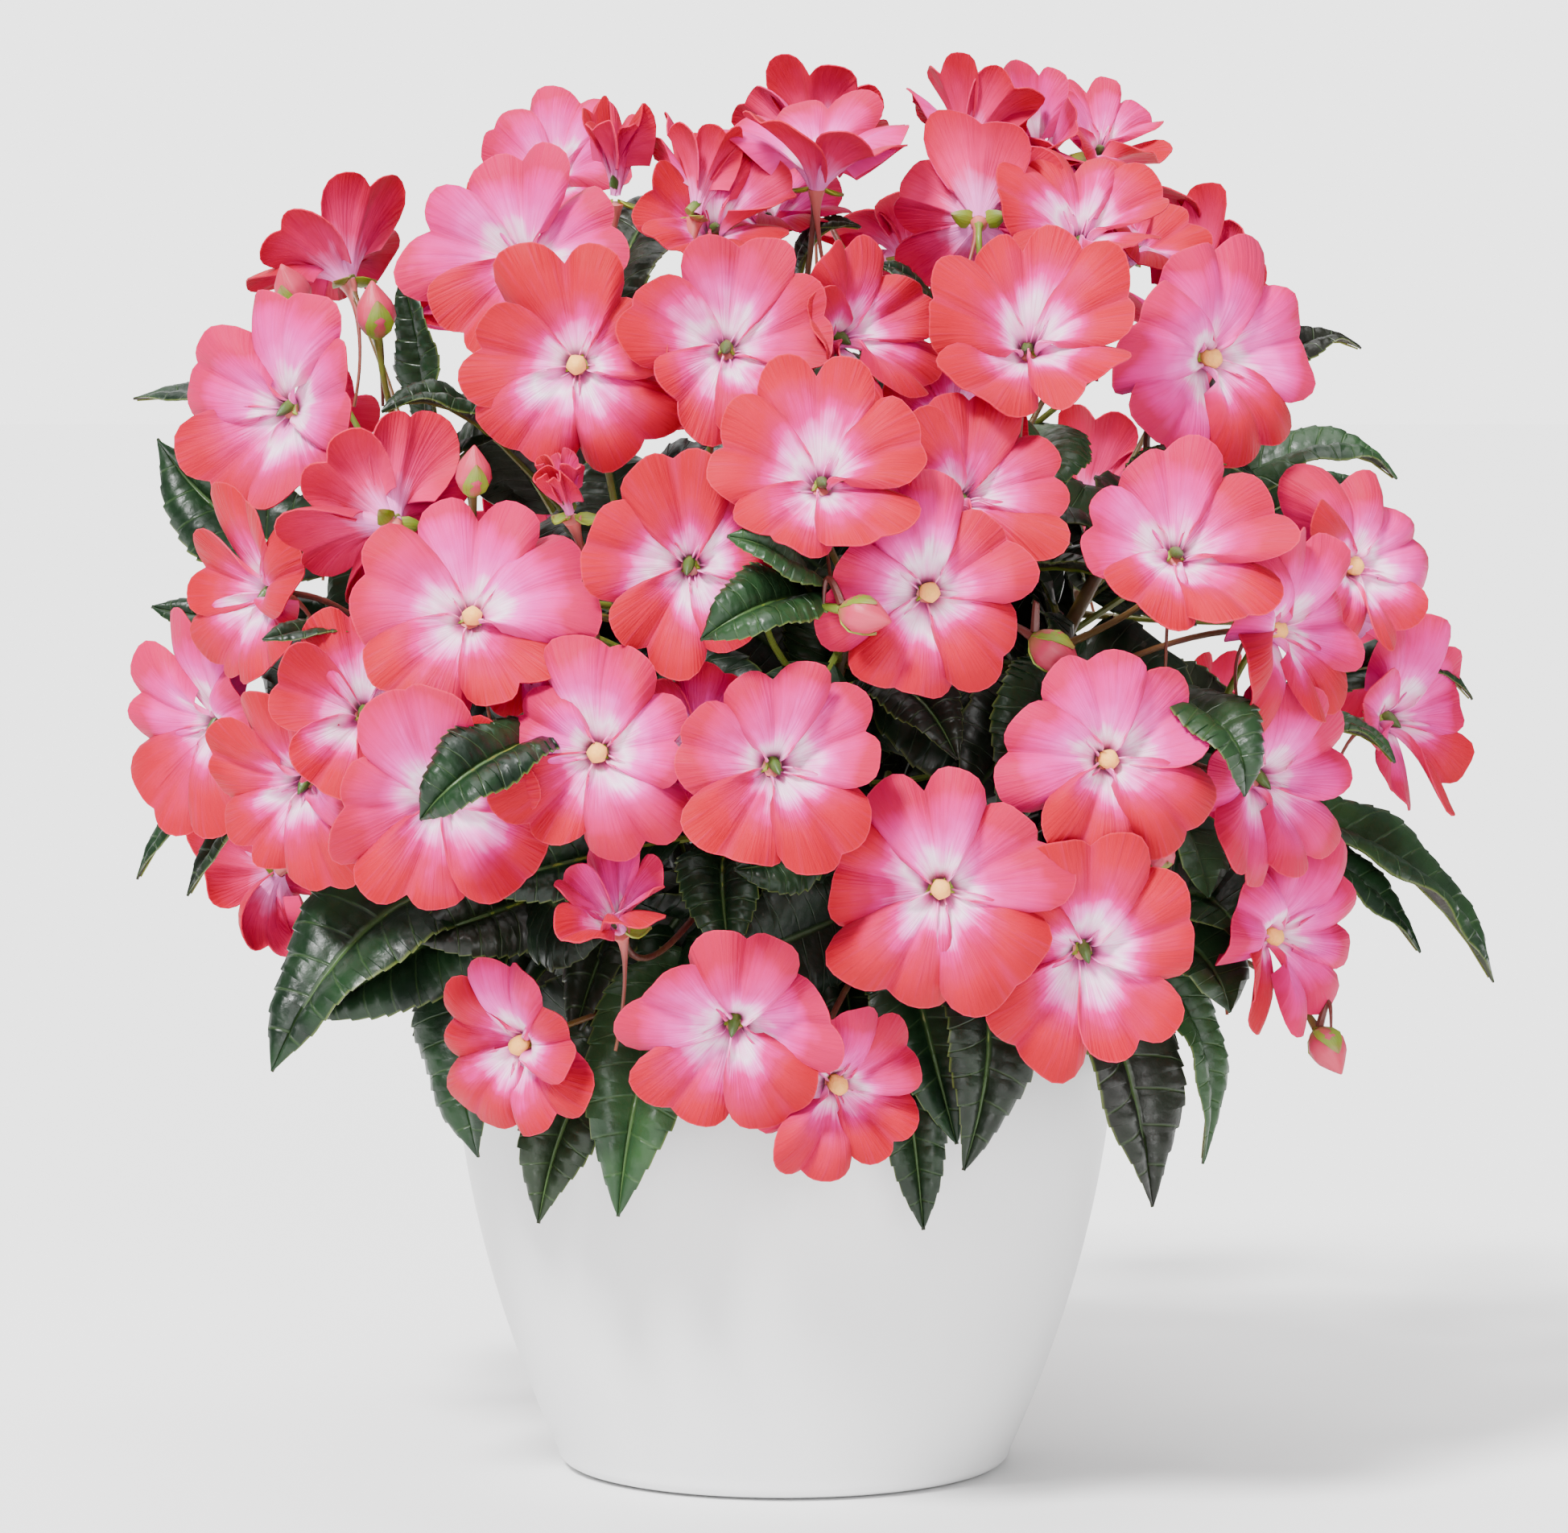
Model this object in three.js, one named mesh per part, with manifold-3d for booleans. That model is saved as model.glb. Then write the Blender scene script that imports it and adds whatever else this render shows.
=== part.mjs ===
// Potted New Guinea impatiens: a white tapered pot filled with potting mix, seven leafy stems
// standing in plain holes in it, and a dome of five-petalled blooms.
// Millimetres, +Z up, the pot's underside on z = 0, the front of the plant towards -Y.
import * as THREE from "three";
import { mergeVertices } from "three/addons/utils/BufferGeometryUtils.js";
import Module from "manifold-3d";

const wasm = await Module();
wasm.setup();

// Driving dimensions
const POT_HEIGHT = 145;
const POT_WALL = 3.5;
const POT_FLOOR = 5;
const POT_SIDES = 30;
const FOOT_RADIUS = 61.5;
const HEEL_RADIUS = 66; // where the line of the bowed side meets the ground
const HEEL_HEIGHT = 5;
const RIM_RADIUS = 100;
const SOIL_TOP = 130;
const SOIL_CROWN = 5; // how much the mix is mounded at the middle
const GAP = 0.35; // clearance between touching pieces

const DOME_CENTRE = 240; // height of the middle of the dome of blooms
const DOME_RADIUS = 185; // from the axis to the throats of the blooms
const DOME_RISE = 162; // from the middle of the dome to its top
const EYE = new THREE.Vector3(0, -2150, 387); // where the front view is seen from

const PETAL_SCALE = 1.05;
const PETAL_THICK = 0.8;
const LEAF_THICK = 0.9;
const LEAF_LONGEST = 92;
const LEAF_FOLD = 0.3; // radians that each half of a leaf is raised
const PETIOLE_HALF = 1.3;

const STEM_RADIUS = 4.2;
const SHOOT_RADIUS = 2.4;
const PEDICEL_RADIUS = 0.95;
const STEM_DEPTH = 45; // how far a stem reaches into the mix
const OUTER_STEMS = 6;
const STEM_RING = 34; // radius of the ring of outer stems where they leave the mix
const SHOOT_SHARE = 0.62; // the shell of the shoot tips as a share of the dome
const MIDDLE_STEM_REACH = 68; // the middle stem bears the shoots nearer to the axis than this
const FORK_HEIGHT = DOME_CENTRE - 52; // where the main stems divide into shoots
const GOLDEN_ANGLE = Math.PI * (3 - Math.sqrt(5));

// Blooms as the front view shows them: across and up to the throat on the upright plane through
// the pot's axis, back from the dome's surface, yaw to the right and pitch upwards of the way it
// faces, roll of its top petal to the right, petal length, and how far the petals open from the
// axis (82 is flat, 28 is half open). Lengths in mm, angles in degrees.
const FRONT_BLOOMS = [
  [-131, 357, 0, -140, 52, 0, 29, 62],
  [-149, 317, 0, -38, 6, 8, 34, 74],
  [-77, 361, 12, -12, 22, -6, 34, 72],
  [-68, 385, 34, -20, 38, 10, 27, 66],
  [-50, 384, 0, 10, 74, 0, 24, 26],
  [-26, 378, 10, 160, 66, 30, 24, 34],
  [-62, 330, 0, -6, 6, -5, 33, 80],
  [-17, 335, 8, 4, 20, 4, 32, 68],
  [-21, 371, 24, 0, 42, 0, 26, 60],
  [10, 386, 4, 20, 76, 0, 34, 58],
  [-5, 374, 52, 0, 60, 12, 24, 70],
  [9, 396, 76, 180, 50, 0, 25, 66],
  [18, 338, 18, 42, 14, -8, 28, 56],
  [54, 396, 4, 170, 58, 20, 25, 48],
  [75, 392, 22, -22, 34, 6, 26, 46],
  [58, 373, 16, 178, 14, 0, 28, 72],
  [88, 367, 0, 12, 46, 0, 30, 62],
  [94, 394, 56, 30, 50, 0, 22, 60],
  [73, 335, 0, 2, 30, 0, 35, 64],
  [104, 364, 24, 55, 52, 18, 26, 64],
  [127, 356, 34, 120, 36, 0, 26, 70],
  [127, 332, 0, 38, 2, 6, 33, 76],
  [50, 312, 54, 6, -6, 0, 24, 72],
  [-118, 284, 14, -150, 26, -20, 33, 70],
  [-155, 262, 10, -52, 2, 0, 30, 70],
  [-170, 223, 26, -46, -4, 0, 32, 70],
  [-94, 255, 0, 0, 24, 4, 36, 74],
  [-65, 289, 10, -24, 52, 0, 15, 24],
  [-28, 270, 10, -2, 4, -8, 32, 72],
  [11, 295, -6, 0, 32, 0, 34, 66],
  [53, 290, 14, 22, 22, 10, 31, 66],
  [43, 262, 2, 6, 6, -12, 31, 76],
  [117, 274, 0, 4, 32, -4, 33, 66],
  [170, 270, 4, 38, 10, 0, 28, 76],
  [147, 251, 0, 50, 2, 14, 31, 68],
  [-126, 226, 10, -6, 18, -6, 30, 70],
  [-144, 205, 14, -36, -14, 10, 30, 70],
  [-103, 200, -10, -2, -12, -16, 35, 72],
  [-76, 246, 34, -4, -20, 0, 22, 72],
  [-56, 214, 0, -6, 2, 6, 30, 80],
  [-3, 210, -2, 10, 8, 0, 32, 74],
  [-26, 217, 28, -6, -6, 20, 24, 74],
  [97, 212, 2, 16, 8, -14, 33, 76],
  [182, 224, 24, 52, 4, 0, 29, 70],
  [143, 206, 8, 42, -4, 0, 33, 70],
  [-50, 163, 6, -14, 40, 0, 24, 38],
  [47, 173, -2, 0, 2, -6, 35, 82],
  [90, 154, -14, 10, -8, 0, 36, 76],
  [147, 159, 2, 46, -6, 10, 30, 66],
  [-79, 126, -4, -34, -10, 4, 27, 68],
  [-15, 132, -6, 0, -16, 6, 32, 74],
  [16, 114, -10, 20, -10, -12, 27, 68],
];

// The blooms that the front view hides are spread over the back of the dome by the golden angle.
const BACK_BLOOMS = 15;
const BACK_SEED = 41;

// Buds: across, up and depth from the axis in the front view, the way the tip points (yaw, pitch),
// and the bud's length.
const BUDS = [
  [-121, 338, -76, -20, 76, 17],
  [-144, 346, -26, -40, 60, 16],
  [17, 257, -186, 60, -10, 16],
  [74, 249, -148, 74, -34, 17],
  [-93, 291, -143, 10, 72, 15],
  [51, 384, -22, -30, 76, 12],
  [160, 131, -72, 40, -50, 16],
  [112, 182, -118, 10, 20, 12],
];

// Leaves that the front view shows: across, up and depth of the tip, then of the point that the
// midrib bends round, and the width. Each grows from the nearest shoot.
const SEEN_LEAVES = [
  [-187, 308, 8, -158, 262, -6, 34],
  [-194, 320, 2, -160, 326, 0, 22],
  [-189, 258, 4, -160, 250, -6, 20],
  [-194, 176, -30, -178, 214, -26, 19],
  [-179, 171, -56, -160, 208, -48, 21],
  [-154, 118, -104, -124, 186, -100, 42],
  [-144, 134, -84, -92, 166, -92, 36],
  [-112, 158, -104, -72, 170, -104, 28],
  [-92, 92, -96, -106, 146, -98, 34],
  [-74, 72, -116, -66, 124, -116, 27],
  [-50, 74, -128, -42, 150, -128, 33],
  [42, 70, -116, 38, 120, -118, 22],
  [52, 96, -116, 36, 156, -118, 30],
  [54, 88, -124, 74, 150, -120, 30],
  [111, 77, -86, 102, 150, -90, 42],
  [126, 90, -66, 136, 148, -66, 20],
  [213, 145, -24, 182, 206, -20, 38],
  [191, 154, -34, 172, 184, -34, 24],
  [206, 230, -12, 190, 256, -8, 15],
  [183, 296, -30, 158, 324, -30, 27],
  [172, 335, 12, 150, 350, 8, 17],
  [172, 296, -6, 146, 292, -14, 25],
  [-120, 316, -84, -96, 334, -84, 24],
  [-114, 357, -36, -104, 322, -42, 22],
  [-156, 248, -136, -124, 258, -128, 20],
  [-109, 194, -190, -86, 226, -214, 24],
  [-93, 173, -142, -62, 184, -140, 22],
  [-17, 279, -192, 10, 276, -204, 18],
  [-25, 248, -194, 2, 268, -210, 23],
  [-15, 179, -150, 16, 182, -146, 24],
  [138, 201, -150, 141, 238, -168, 26],
  [183, 211, -62, 170, 236, -58, 17],
  [23, 371, -66, 2, 378, -64, 14],
  [27, 360, -84, 50, 358, -84, 18],
  [72, 292, -112, 90, 314, -106, 26],
  [141, 296, -84, 116, 316, -86, 23],
  [52, 212, -150, 38, 246, -144, 22],
  [66, 190, -132, 80, 238, -128, 30],
  [-16, 150, -148, -22, 192, -144, 24],
];

// Shoots that end under the blooms of the front: across, up and depth of their tips.
const FRONT_SHOOTS = [
  [-112, 300, -36],
  [-58, 334, -58],
  [2, 346, -62],
  [60, 338, -58],
  [110, 300, -46],
  [-112, 236, -66],
  [-48, 270, -112],
  [22, 264, -118],
  [84, 248, -104],
  [130, 222, -48],
  [-84, 176, -92],
  [-22, 196, -122],
  [44, 172, -112],
  [96, 156, -84],
  [-34, 142, -94],
];
const BACK_SHOOTS = 7;

// The leaves round the back come in whorls, a few to each shoot.
const WHORL = 2;
const WHORL_SEED = 7;
const WHORL_TRIES = 6; // places tried for a leaf before it is left out as overgrown
const BLOOM_CLEAR = 4; // how far a whorl's leaves keep from petals
const STALK_CLEAR = 6; // from stalks
const LEAF_CLEAR = 22; // and from each other's middles and edges

// Materials, from the photograph
const finish = (color, roughness) =>
  new THREE.MeshStandardMaterial({ color, roughness, metalness: 0 });
const POT_WHITE = finish(0xe9e9e9, 0.35);
const SOIL_BROWN = finish(0x2c2018, 0.95);
const LEAF_GREEN = finish(0x1f3a24, 0.4);
const PETAL_CORAL = finish(0xf0587a, 0.55);

const v = (x, y, z) => new THREE.Vector3(x, y, z);
const rad = THREE.MathUtils.degToRad;

// A repeatable stream of numbers from 0 to 1.
function seeded(seed) {
  let state = seed >>> 0;
  return () => {
    state = (state + 0x6d2b79f5) >>> 0;
    let t = state;
    t = Math.imul(t ^ (t >>> 15), t | 1);
    t ^= t + Math.imul(t ^ (t >>> 7), t | 61);
    return ((t ^ (t >>> 14)) >>> 0) / 4294967296;
  };
}

// Solids and meshes

function solidFrom(geometry) {
  geometry.deleteAttribute("normal");
  geometry.deleteAttribute("uv");
  const merged = mergeVertices(geometry, 1e-4);
  return new wasm.Manifold(
    new wasm.Mesh({
      numProp: 3,
      vertProperties: merged.attributes.position.array,
      triVerts: new Uint32Array(merged.index.array),
    }),
  );
}

function solidOf(points, triangles) {
  const geometry = new THREE.BufferGeometry().setFromPoints(points);
  geometry.setIndex(triangles.flat());
  return solidFrom(geometry);
}

function largestBody(solid) {
  return solid
    .decompose()
    .reduce((most, body) => (body.volume() > most.volume() ? body : most));
}

function meshOf(name, solid, material) {
  const made = solid.getMesh();
  const geometry = new THREE.BufferGeometry();
  geometry.setAttribute(
    "position",
    new THREE.BufferAttribute(new Float32Array(made.vertProperties), 3),
  );
  geometry.setIndex(new THREE.BufferAttribute(new Uint32Array(made.triVerts), 1));
  geometry.computeVertexNormals();
  const mesh = new THREE.Mesh(geometry, material);
  mesh.name = name;
  return mesh;
}

const joined = (solids) => solids.reduce((all, one) => all.add(one));

// Closes a sheet of points into a blade: the same triangles on both faces, and a rim between them.
function blade(top, under, triangles, outline) {
  const count = top.length;
  const faces = [...triangles];
  triangles.forEach(([a, b, c]) => faces.push([a + count, c + count, b + count]));
  outline.forEach((a, i) => {
    const b = outline[(i + 1) % outline.length];
    faces.push([b, a, a + count], [b, a + count, b + count]);
  });
  return solidOf([...top, ...under], faces);
}

// A rod along points, with a radius at each one. Its rings are parallel, so its sides are flat.
function rod(points, radii, sides) {
  const last = points.length - 1;
  const along = points[last].clone().sub(points[0]).normalize();
  const across = v(0.31, 0.95, 0.05);
  across.addScaledVector(along, -across.dot(along)).normalize();
  const third = along.clone().cross(across);
  const rings = points.flatMap((point, i) =>
    Array.from({ length: sides }, (_, k) => {
      const turn = (2 * Math.PI * k) / sides;
      return point
        .clone()
        .addScaledVector(across, radii[i] * Math.cos(turn))
        .addScaledVector(third, radii[i] * Math.sin(turn));
    }),
  );
  const faces = [];
  for (let i = 0; i + 1 < points.length; i++)
    for (let k = 0; k < sides; k++) {
      const a = i * sides + k;
      const b = i * sides + ((k + 1) % sides);
      faces.push([a, b, b + sides], [a, b + sides, a + sides]);
    }
  const end = last * sides;
  for (let k = 1; k + 1 < sides; k++)
    faces.push([0, k + 1, k], [end, end + k, end + k + 1]);
  return solidOf(rings, faces);
}

const curve = (from, bend, to) => new THREE.QuadraticBezierCurve3(from, bend, to);

// Places on the plant

// The point at a depth on the line of sight through (across, up) on the plane of the pot's axis.
function seen(across, up, depth) {
  return EYE.clone().lerp(v(across, 0, up), (depth - EYE.y) / -EYE.y);
}

// Where that line of sight meets the dome, or passes nearest to it, moved back.
function onDome(across, up, back) {
  const way = v(across, 0, up).sub(EYE);
  const squash = DOME_RADIUS / DOME_RISE;
  const from = v(EYE.x, EYE.y, (EYE.z - DOME_CENTRE) * squash);
  const to = v(way.x, way.y, way.z * squash);
  const a = to.lengthSq();
  const b = from.dot(to);
  const c = from.lengthSq() - DOME_RADIUS ** 2;
  const reach = (-b - Math.sqrt(Math.max(0, b * b - a * c))) / a;
  return EYE.clone().addScaledVector(way, reach + back / way.length());
}

function facing(yaw, pitch) {
  const [turn, rise] = [rad(yaw), rad(pitch)];
  return v(
    Math.sin(turn) * Math.cos(rise),
    -Math.cos(turn) * Math.cos(rise),
    Math.sin(rise),
  );
}

// The outward direction of the dome at a point.
function outward(point) {
  return v(
    point.x / DOME_RADIUS ** 2,
    point.y / DOME_RADIUS ** 2,
    (point.z - DOME_CENTRE) / DOME_RISE ** 2,
  ).normalize();
}

// Blooms

function listBlooms() {
  const blooms = FRONT_BLOOMS.map(
    ([across, up, back, yaw, pitch, roll, petal, open]) => {
      const throat = onDome(across, up, back);
      const nearer = throat.distanceTo(EYE) / EYE.length();
      const face = facing(yaw, pitch);
      return { throat, face, roll, petal: PETAL_SCALE * petal * nearer, open };
    },
  );
  const random = seeded(BACK_SEED);
  for (let i = 0; i < BACK_BLOOMS; i++) {
    const height = 0.9 - (1.46 * (i + 0.5)) / BACK_BLOOMS;
    const turn = backTurn(i);
    const ring = DOME_RADIUS * Math.sqrt(1 - height * height) * (0.97 + 0.05 * random());
    const throat = v(
      ring * Math.cos(turn),
      ring * Math.sin(turn),
      DOME_CENTRE + DOME_RISE * height,
    );
    const face = outward(throat)
      .add(v(random() - 0.5, random() - 0.5, random() - 0.1).multiplyScalar(0.7))
      .normalize();
    blooms.push({
      throat,
      face,
      roll: 30 * (random() - 0.5),
      petal: 30 + 5 * random(),
      open: 66 + 14 * random(),
    });
  }
  return blooms;
}

// Five petals in one thin body. Each petal has two lobes with a notch between them, and its last
// edge stands above the first edge of the next petal.
const PETALS = 5;
const PETAL_RAYS = [
  // turn from the petal's middle in degrees, length share, rise in mm
  [-36, 0.84, -1.4],
  [-20, 1.02, -0.5],
  [0, 0.93, 0.3],
  [20, 1.02, 1.6],
];
const PETAL_LENGTHS = [1.04, 0.97, 1.0, 1.0, 0.97];
const THROAT_DEPTH = 3.5;
const COLUMN_HEIGHT = 6.5; // the pointed column in the throat
const COLUMN_RADIUS = 2.4;

function bloomSolid(bloom, index, grow) {
  const random = seeded(100 + index);
  const { throat, face, petal, open } = bloom;
  const guide = Math.abs(face.z) > 0.95 ? v(0, 1, 0) : v(0, 0, 1);
  const top = guide.addScaledVector(face, -guide.dot(face)).normalize();
  top.applyAxisAngle(face, -rad(bloom.roll));
  const right = top.clone().cross(face);
  const around = (degrees) =>
    top
      .clone()
      .multiplyScalar(Math.cos(rad(degrees)))
      .addScaledVector(right, Math.sin(rad(degrees)));
  const [upper, under, foot] = [[], [], []];
  for (let p = 0; p < PETALS; p++) {
    const middle = 72 * p + 8 * (random() - 0.5);
    const tilt = rad(open + 9 * (random() - 0.5));
    for (const [turn, share, rise] of PETAL_RAYS) {
      const out = around(middle + turn);
      const length = petal * PETAL_LENGTHS[p] * share + grow;
      const normal = face
        .clone()
        .multiplyScalar(Math.sin(tilt))
        .addScaledVector(out, -Math.cos(tilt));
      const point = throat
        .clone()
        .addScaledVector(out, length * Math.sin(tilt))
        .addScaledVector(face, length * Math.cos(tilt))
        .addScaledVector(normal, rise + grow);
      upper.push(point);
      under.push(point.clone().addScaledVector(normal, -PETAL_THICK - 2 * grow));
    }
    foot.push(
      throat
        .clone()
        .addScaledVector(face, grow - THROAT_DEPTH)
        .addScaledVector(around(72 * p), footRadius(open) + grow),
    );
  }
  const column = throat.clone().addScaledVector(face, COLUMN_HEIGHT - THROAT_DEPTH + grow);
  const heel = throat.clone().addScaledVector(face, -heelDepth(open) - 1.2 * grow);
  return solidOf([...upper, ...under, ...foot, column, heel], bloomTriangles());
}

// The column's foot, narrower in a bloom that is half open.
const footRadius = (open) => COLUMN_RADIUS * Math.sin(rad(open));

// How far behind the throat the petals' backs meet: farther where they are half open.
const heelDepth = (open) =>
  THROAT_DEPTH + PETAL_THICK + (footRadius(open) + 1) / Math.tan(rad(open));

// Where a bloom's stalk ends, just clear of the back of the petals.
const bloomBack = ({ throat, face, open }) =>
  throat.clone().addScaledVector(face, -heelDepth(open) - 3 * GAP);

// The petals' fans on both faces, the rim between them, and the column in the throat.
function bloomTriangles() {
  const rays = PETALS * PETAL_RAYS.length;
  const foot = 2 * rays;
  const [column, heel] = [foot + PETALS, foot + PETALS + 1];
  const faces = [];
  for (let i = 0; i < rays; i++) {
    const next = (i + 1) % rays;
    const p = Math.floor(i / PETAL_RAYS.length);
    const q = Math.floor(next / PETAL_RAYS.length);
    faces.push([foot + p, next, i], [heel, rays + i, rays + next]);
    faces.push([i, next, rays + next], [i, rays + next, rays + i]);
    if (p !== q) faces.push([foot + p, foot + q, next], [foot + q, foot + p, column]);
  }
  return faces;
}

// A pointed bud with five sides.
const BUD_PROFILE = [
  // share of the length, radius as a share of the length
  [0.0, 0.12],
  [0.3, 0.34],
  [0.62, 0.3],
  [1.0, 0.03],
];

function bud([across, up, depth, yaw, pitch, length], grow) {
  const base = seen(across, up, depth);
  const way = facing(yaw, pitch);
  const points = BUD_PROFILE.map(([share]) =>
    base.clone().addScaledVector(way, share * length),
  );
  points[0].addScaledVector(way, -grow);
  points[points.length - 1].addScaledVector(way, grow);
  return rod(
    points,
    BUD_PROFILE.map(([, radius]) => radius * length + grow),
    5,
  );
}

// Leafy stems

function shootTips() {
  const points = FRONT_SHOOTS.map(([across, up, depth]) => seen(across, up, depth));
  for (let i = 0; i < BACK_SHOOTS; i++) {
    const height = 0.94 - (1.4 * (i + 0.5)) / BACK_SHOOTS;
    const ring = DOME_RADIUS * SHOOT_SHARE * Math.sqrt(1 - height * height);
    const turn = backTurn(i);
    const up = DOME_CENTRE + DOME_RISE * SHOOT_SHARE * height;
    points.push(v(ring * Math.cos(turn), ring * Math.sin(turn), up));
  }
  return points.map((point) => {
    const round = (Math.atan2(point.y, point.x) / (2 * Math.PI) + 1) % 1;
    const isMiddle = Math.hypot(point.x, point.y) < MIDDLE_STEM_REACH;
    const stem = isMiddle ? OUTER_STEMS : Math.floor(round * OUTER_STEMS);
    const fork = stemAt(stem, 1.5, FORK_HEIGHT);
    const bend = fork.clone().lerp(point, 0.5).add(v(0, 0, -8));
    return { point, stem, line: curve(fork.add(v(0, 0, -5)), bend, point), grown: 0 };
  });
}

// Spreads what the front view hides round the back half of the dome.
const backTurn = (i) =>
  Math.PI * (0.06 + 0.88 * (((i * GOLDEN_ANGLE) / (2 * Math.PI)) % 1));

// A point on a main stem's own axis: how far out from the pot's axis, and how high.
function stemAt(stem, reach, z) {
  const turn = ((stem + 0.5) * 2 * Math.PI) / OUTER_STEMS;
  const ring = stem === OUTER_STEMS ? 0 : STEM_RING * reach;
  return v(ring * Math.cos(turn), ring * Math.sin(turn), z);
}

// Leaves and flower stalks grow from all along the upper half of a shoot.
function nextNode(shoot) {
  const down = 0.05 + 0.9 * ((0.618 * shoot.grown) % 1);
  shoot.grown += 1;
  return shoot.line.getPoint(1).lerp(shoot.line.getPoint(0.5), down);
}

const nearest = (tips, point) =>
  tips.reduce((best, tip) =>
    tip.point.distanceTo(point) < best.point.distanceTo(point) ? tip : best,
  );

// The leaves, each with the shoot tip that it grows from and the curve of its midrib.
function listLeaves(tips, blooms, stalks) {
  const leaves = SEEN_LEAVES.map(([ta, tu, td, ba, bu, bd, width]) => {
    const tip = seen(ta, tu, td);
    const bend = seen(ba, bu, bd);
    const shoot = nearest(tips, bend);
    return { shoot, line: curve(nextNode(shoot), bend, tip), width };
  });
  const random = seeded(WHORL_SEED);
  tips.forEach((shoot, i) => {
    const axis = outward(shoot.point);
    const side = axis.clone().cross(v(0, 0, 1)).normalize();
    const third = axis.clone().cross(side);
    for (let k = 0; k < WHORL; k++) {
      const base = nextNode(shoot);
      for (let attempt = 0; attempt < WHORL_TRIES; attempt++) {
        const turn = ((k + 0.5 * (i % 2)) * 2 * Math.PI) / WHORL + 0.9 * (random() - 0.5);
        const spread = side
          .clone()
          .multiplyScalar(Math.cos(turn))
          .addScaledVector(third, Math.sin(turn));
        const length = 58 + 26 * random();
        const lift = 0.5 - 0.09 * attempt;
        const bend = base
          .clone()
          .addScaledVector(axis, lift * length)
          .addScaledVector(spread, 0.36 * length);
        const tip = base
          .clone()
          .addScaledVector(axis, (lift + 0.1 * random()) * length)
          .addScaledVector(spread, 0.9 * length)
          .add(v(0, 0, -8));
        const leaf = { shoot, line: curve(base, bend, tip), width: 27 + 8 * random() };
        if (hasRoom(leaf, leaves, blooms, stalks)) {
          leaves.push(leaf);
          break;
        }
      }
    }
  });
  return leaves;
}

// Points along the middle and both edges of a leaf's outer part.
function leafSamples(leaf) {
  return [0.3, 0.5, 0.7, 0.95].flatMap((x) =>
    [-0.8, 0, 0.8].map(
      (edge) => leafStation(leaf, x, (edge * leafProfile(x) * leaf.width) / 2, 0).point,
    ),
  );
}

// Whether a leaf would grow clear of the petals, the pot and the leaves that stand already.
function hasRoom(leaf, leaves, blooms, stalks) {
  const samples = leafSamples(leaf);
  const petalNear = (point, { throat, face, petal, open }) => {
    const from = point.clone().sub(throat);
    const along = from.dot(face);
    const out = Math.sqrt(Math.max(0, from.lengthSq() - along * along));
    const off = along * Math.sin(rad(open)) - out * Math.cos(rad(open));
    return out < petal + BLOOM_CLEAR && Math.abs(off) < BLOOM_CLEAR + 2;
  };
  const potNear = ({ x, y, z }) => z < POT_HEIGHT + 5 && Math.hypot(x, y) < RIM_RADIUS + 6;
  if (samples.some((one) => potNear(one) || blooms.some((b) => petalNear(one, b))))
    return false;
  const apart = (points, least) =>
    samples.every((a) => points.every((b) => a.distanceTo(b) > least));
  return (
    leaves.every((other) => apart(leafSamples(other), LEAF_CLEAR)) &&
    stalks.every(({ line }) => apart([0.3, 0.5, 0.7, 0.9].map((t) => line.getPoint(t)), STALK_CLEAR))
  );
}

// Half the width of a leaf at a share of the blade's length, as a share of its half width.
const leafProfile = (x) => 3.34 * x ** 0.8 * (1 - x) ** 0.95;
const TEETH = [0.36, 0.68]; // where the teeth of each edge point, along the blade
const TOOTH_STEP = 0.05; // from a tooth's point to the notch after it
const TOOTH_DEPTH = 0.82; // half width in a notch as a share of that at a point
const MIDRIB = 0.46; // where the blade bends along its midrib

// A point of a leaf's face: along the blade, out from the midrib, and raised from the face.
function leafStation({ line }, x, half, lift) {
  const start = leafStart(line);
  const t = Math.max(0, start + (1 - start) * x);
  const along = line.getTangent(t);
  const hint = outward(line.getPoint(0.6)).add(v(0, 0, 0.45));
  const normal = hint.addScaledVector(along, -hint.dot(along)).normalize();
  const side = along.clone().cross(normal);
  const point = line
    .getPoint(t)
    .addScaledVector(side, half * Math.cos(LEAF_FOLD))
    .addScaledVector(normal, Math.abs(half) * Math.sin(LEAF_FOLD) + lift);
  return { point, normal };
}

// Where the blade of a leaf starts along its midrib's curve, after the leaf's own stalk.
const leafStart = (line) => 1 - Math.min(0.84, LEAF_LONGEST / line.getLength());

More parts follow.
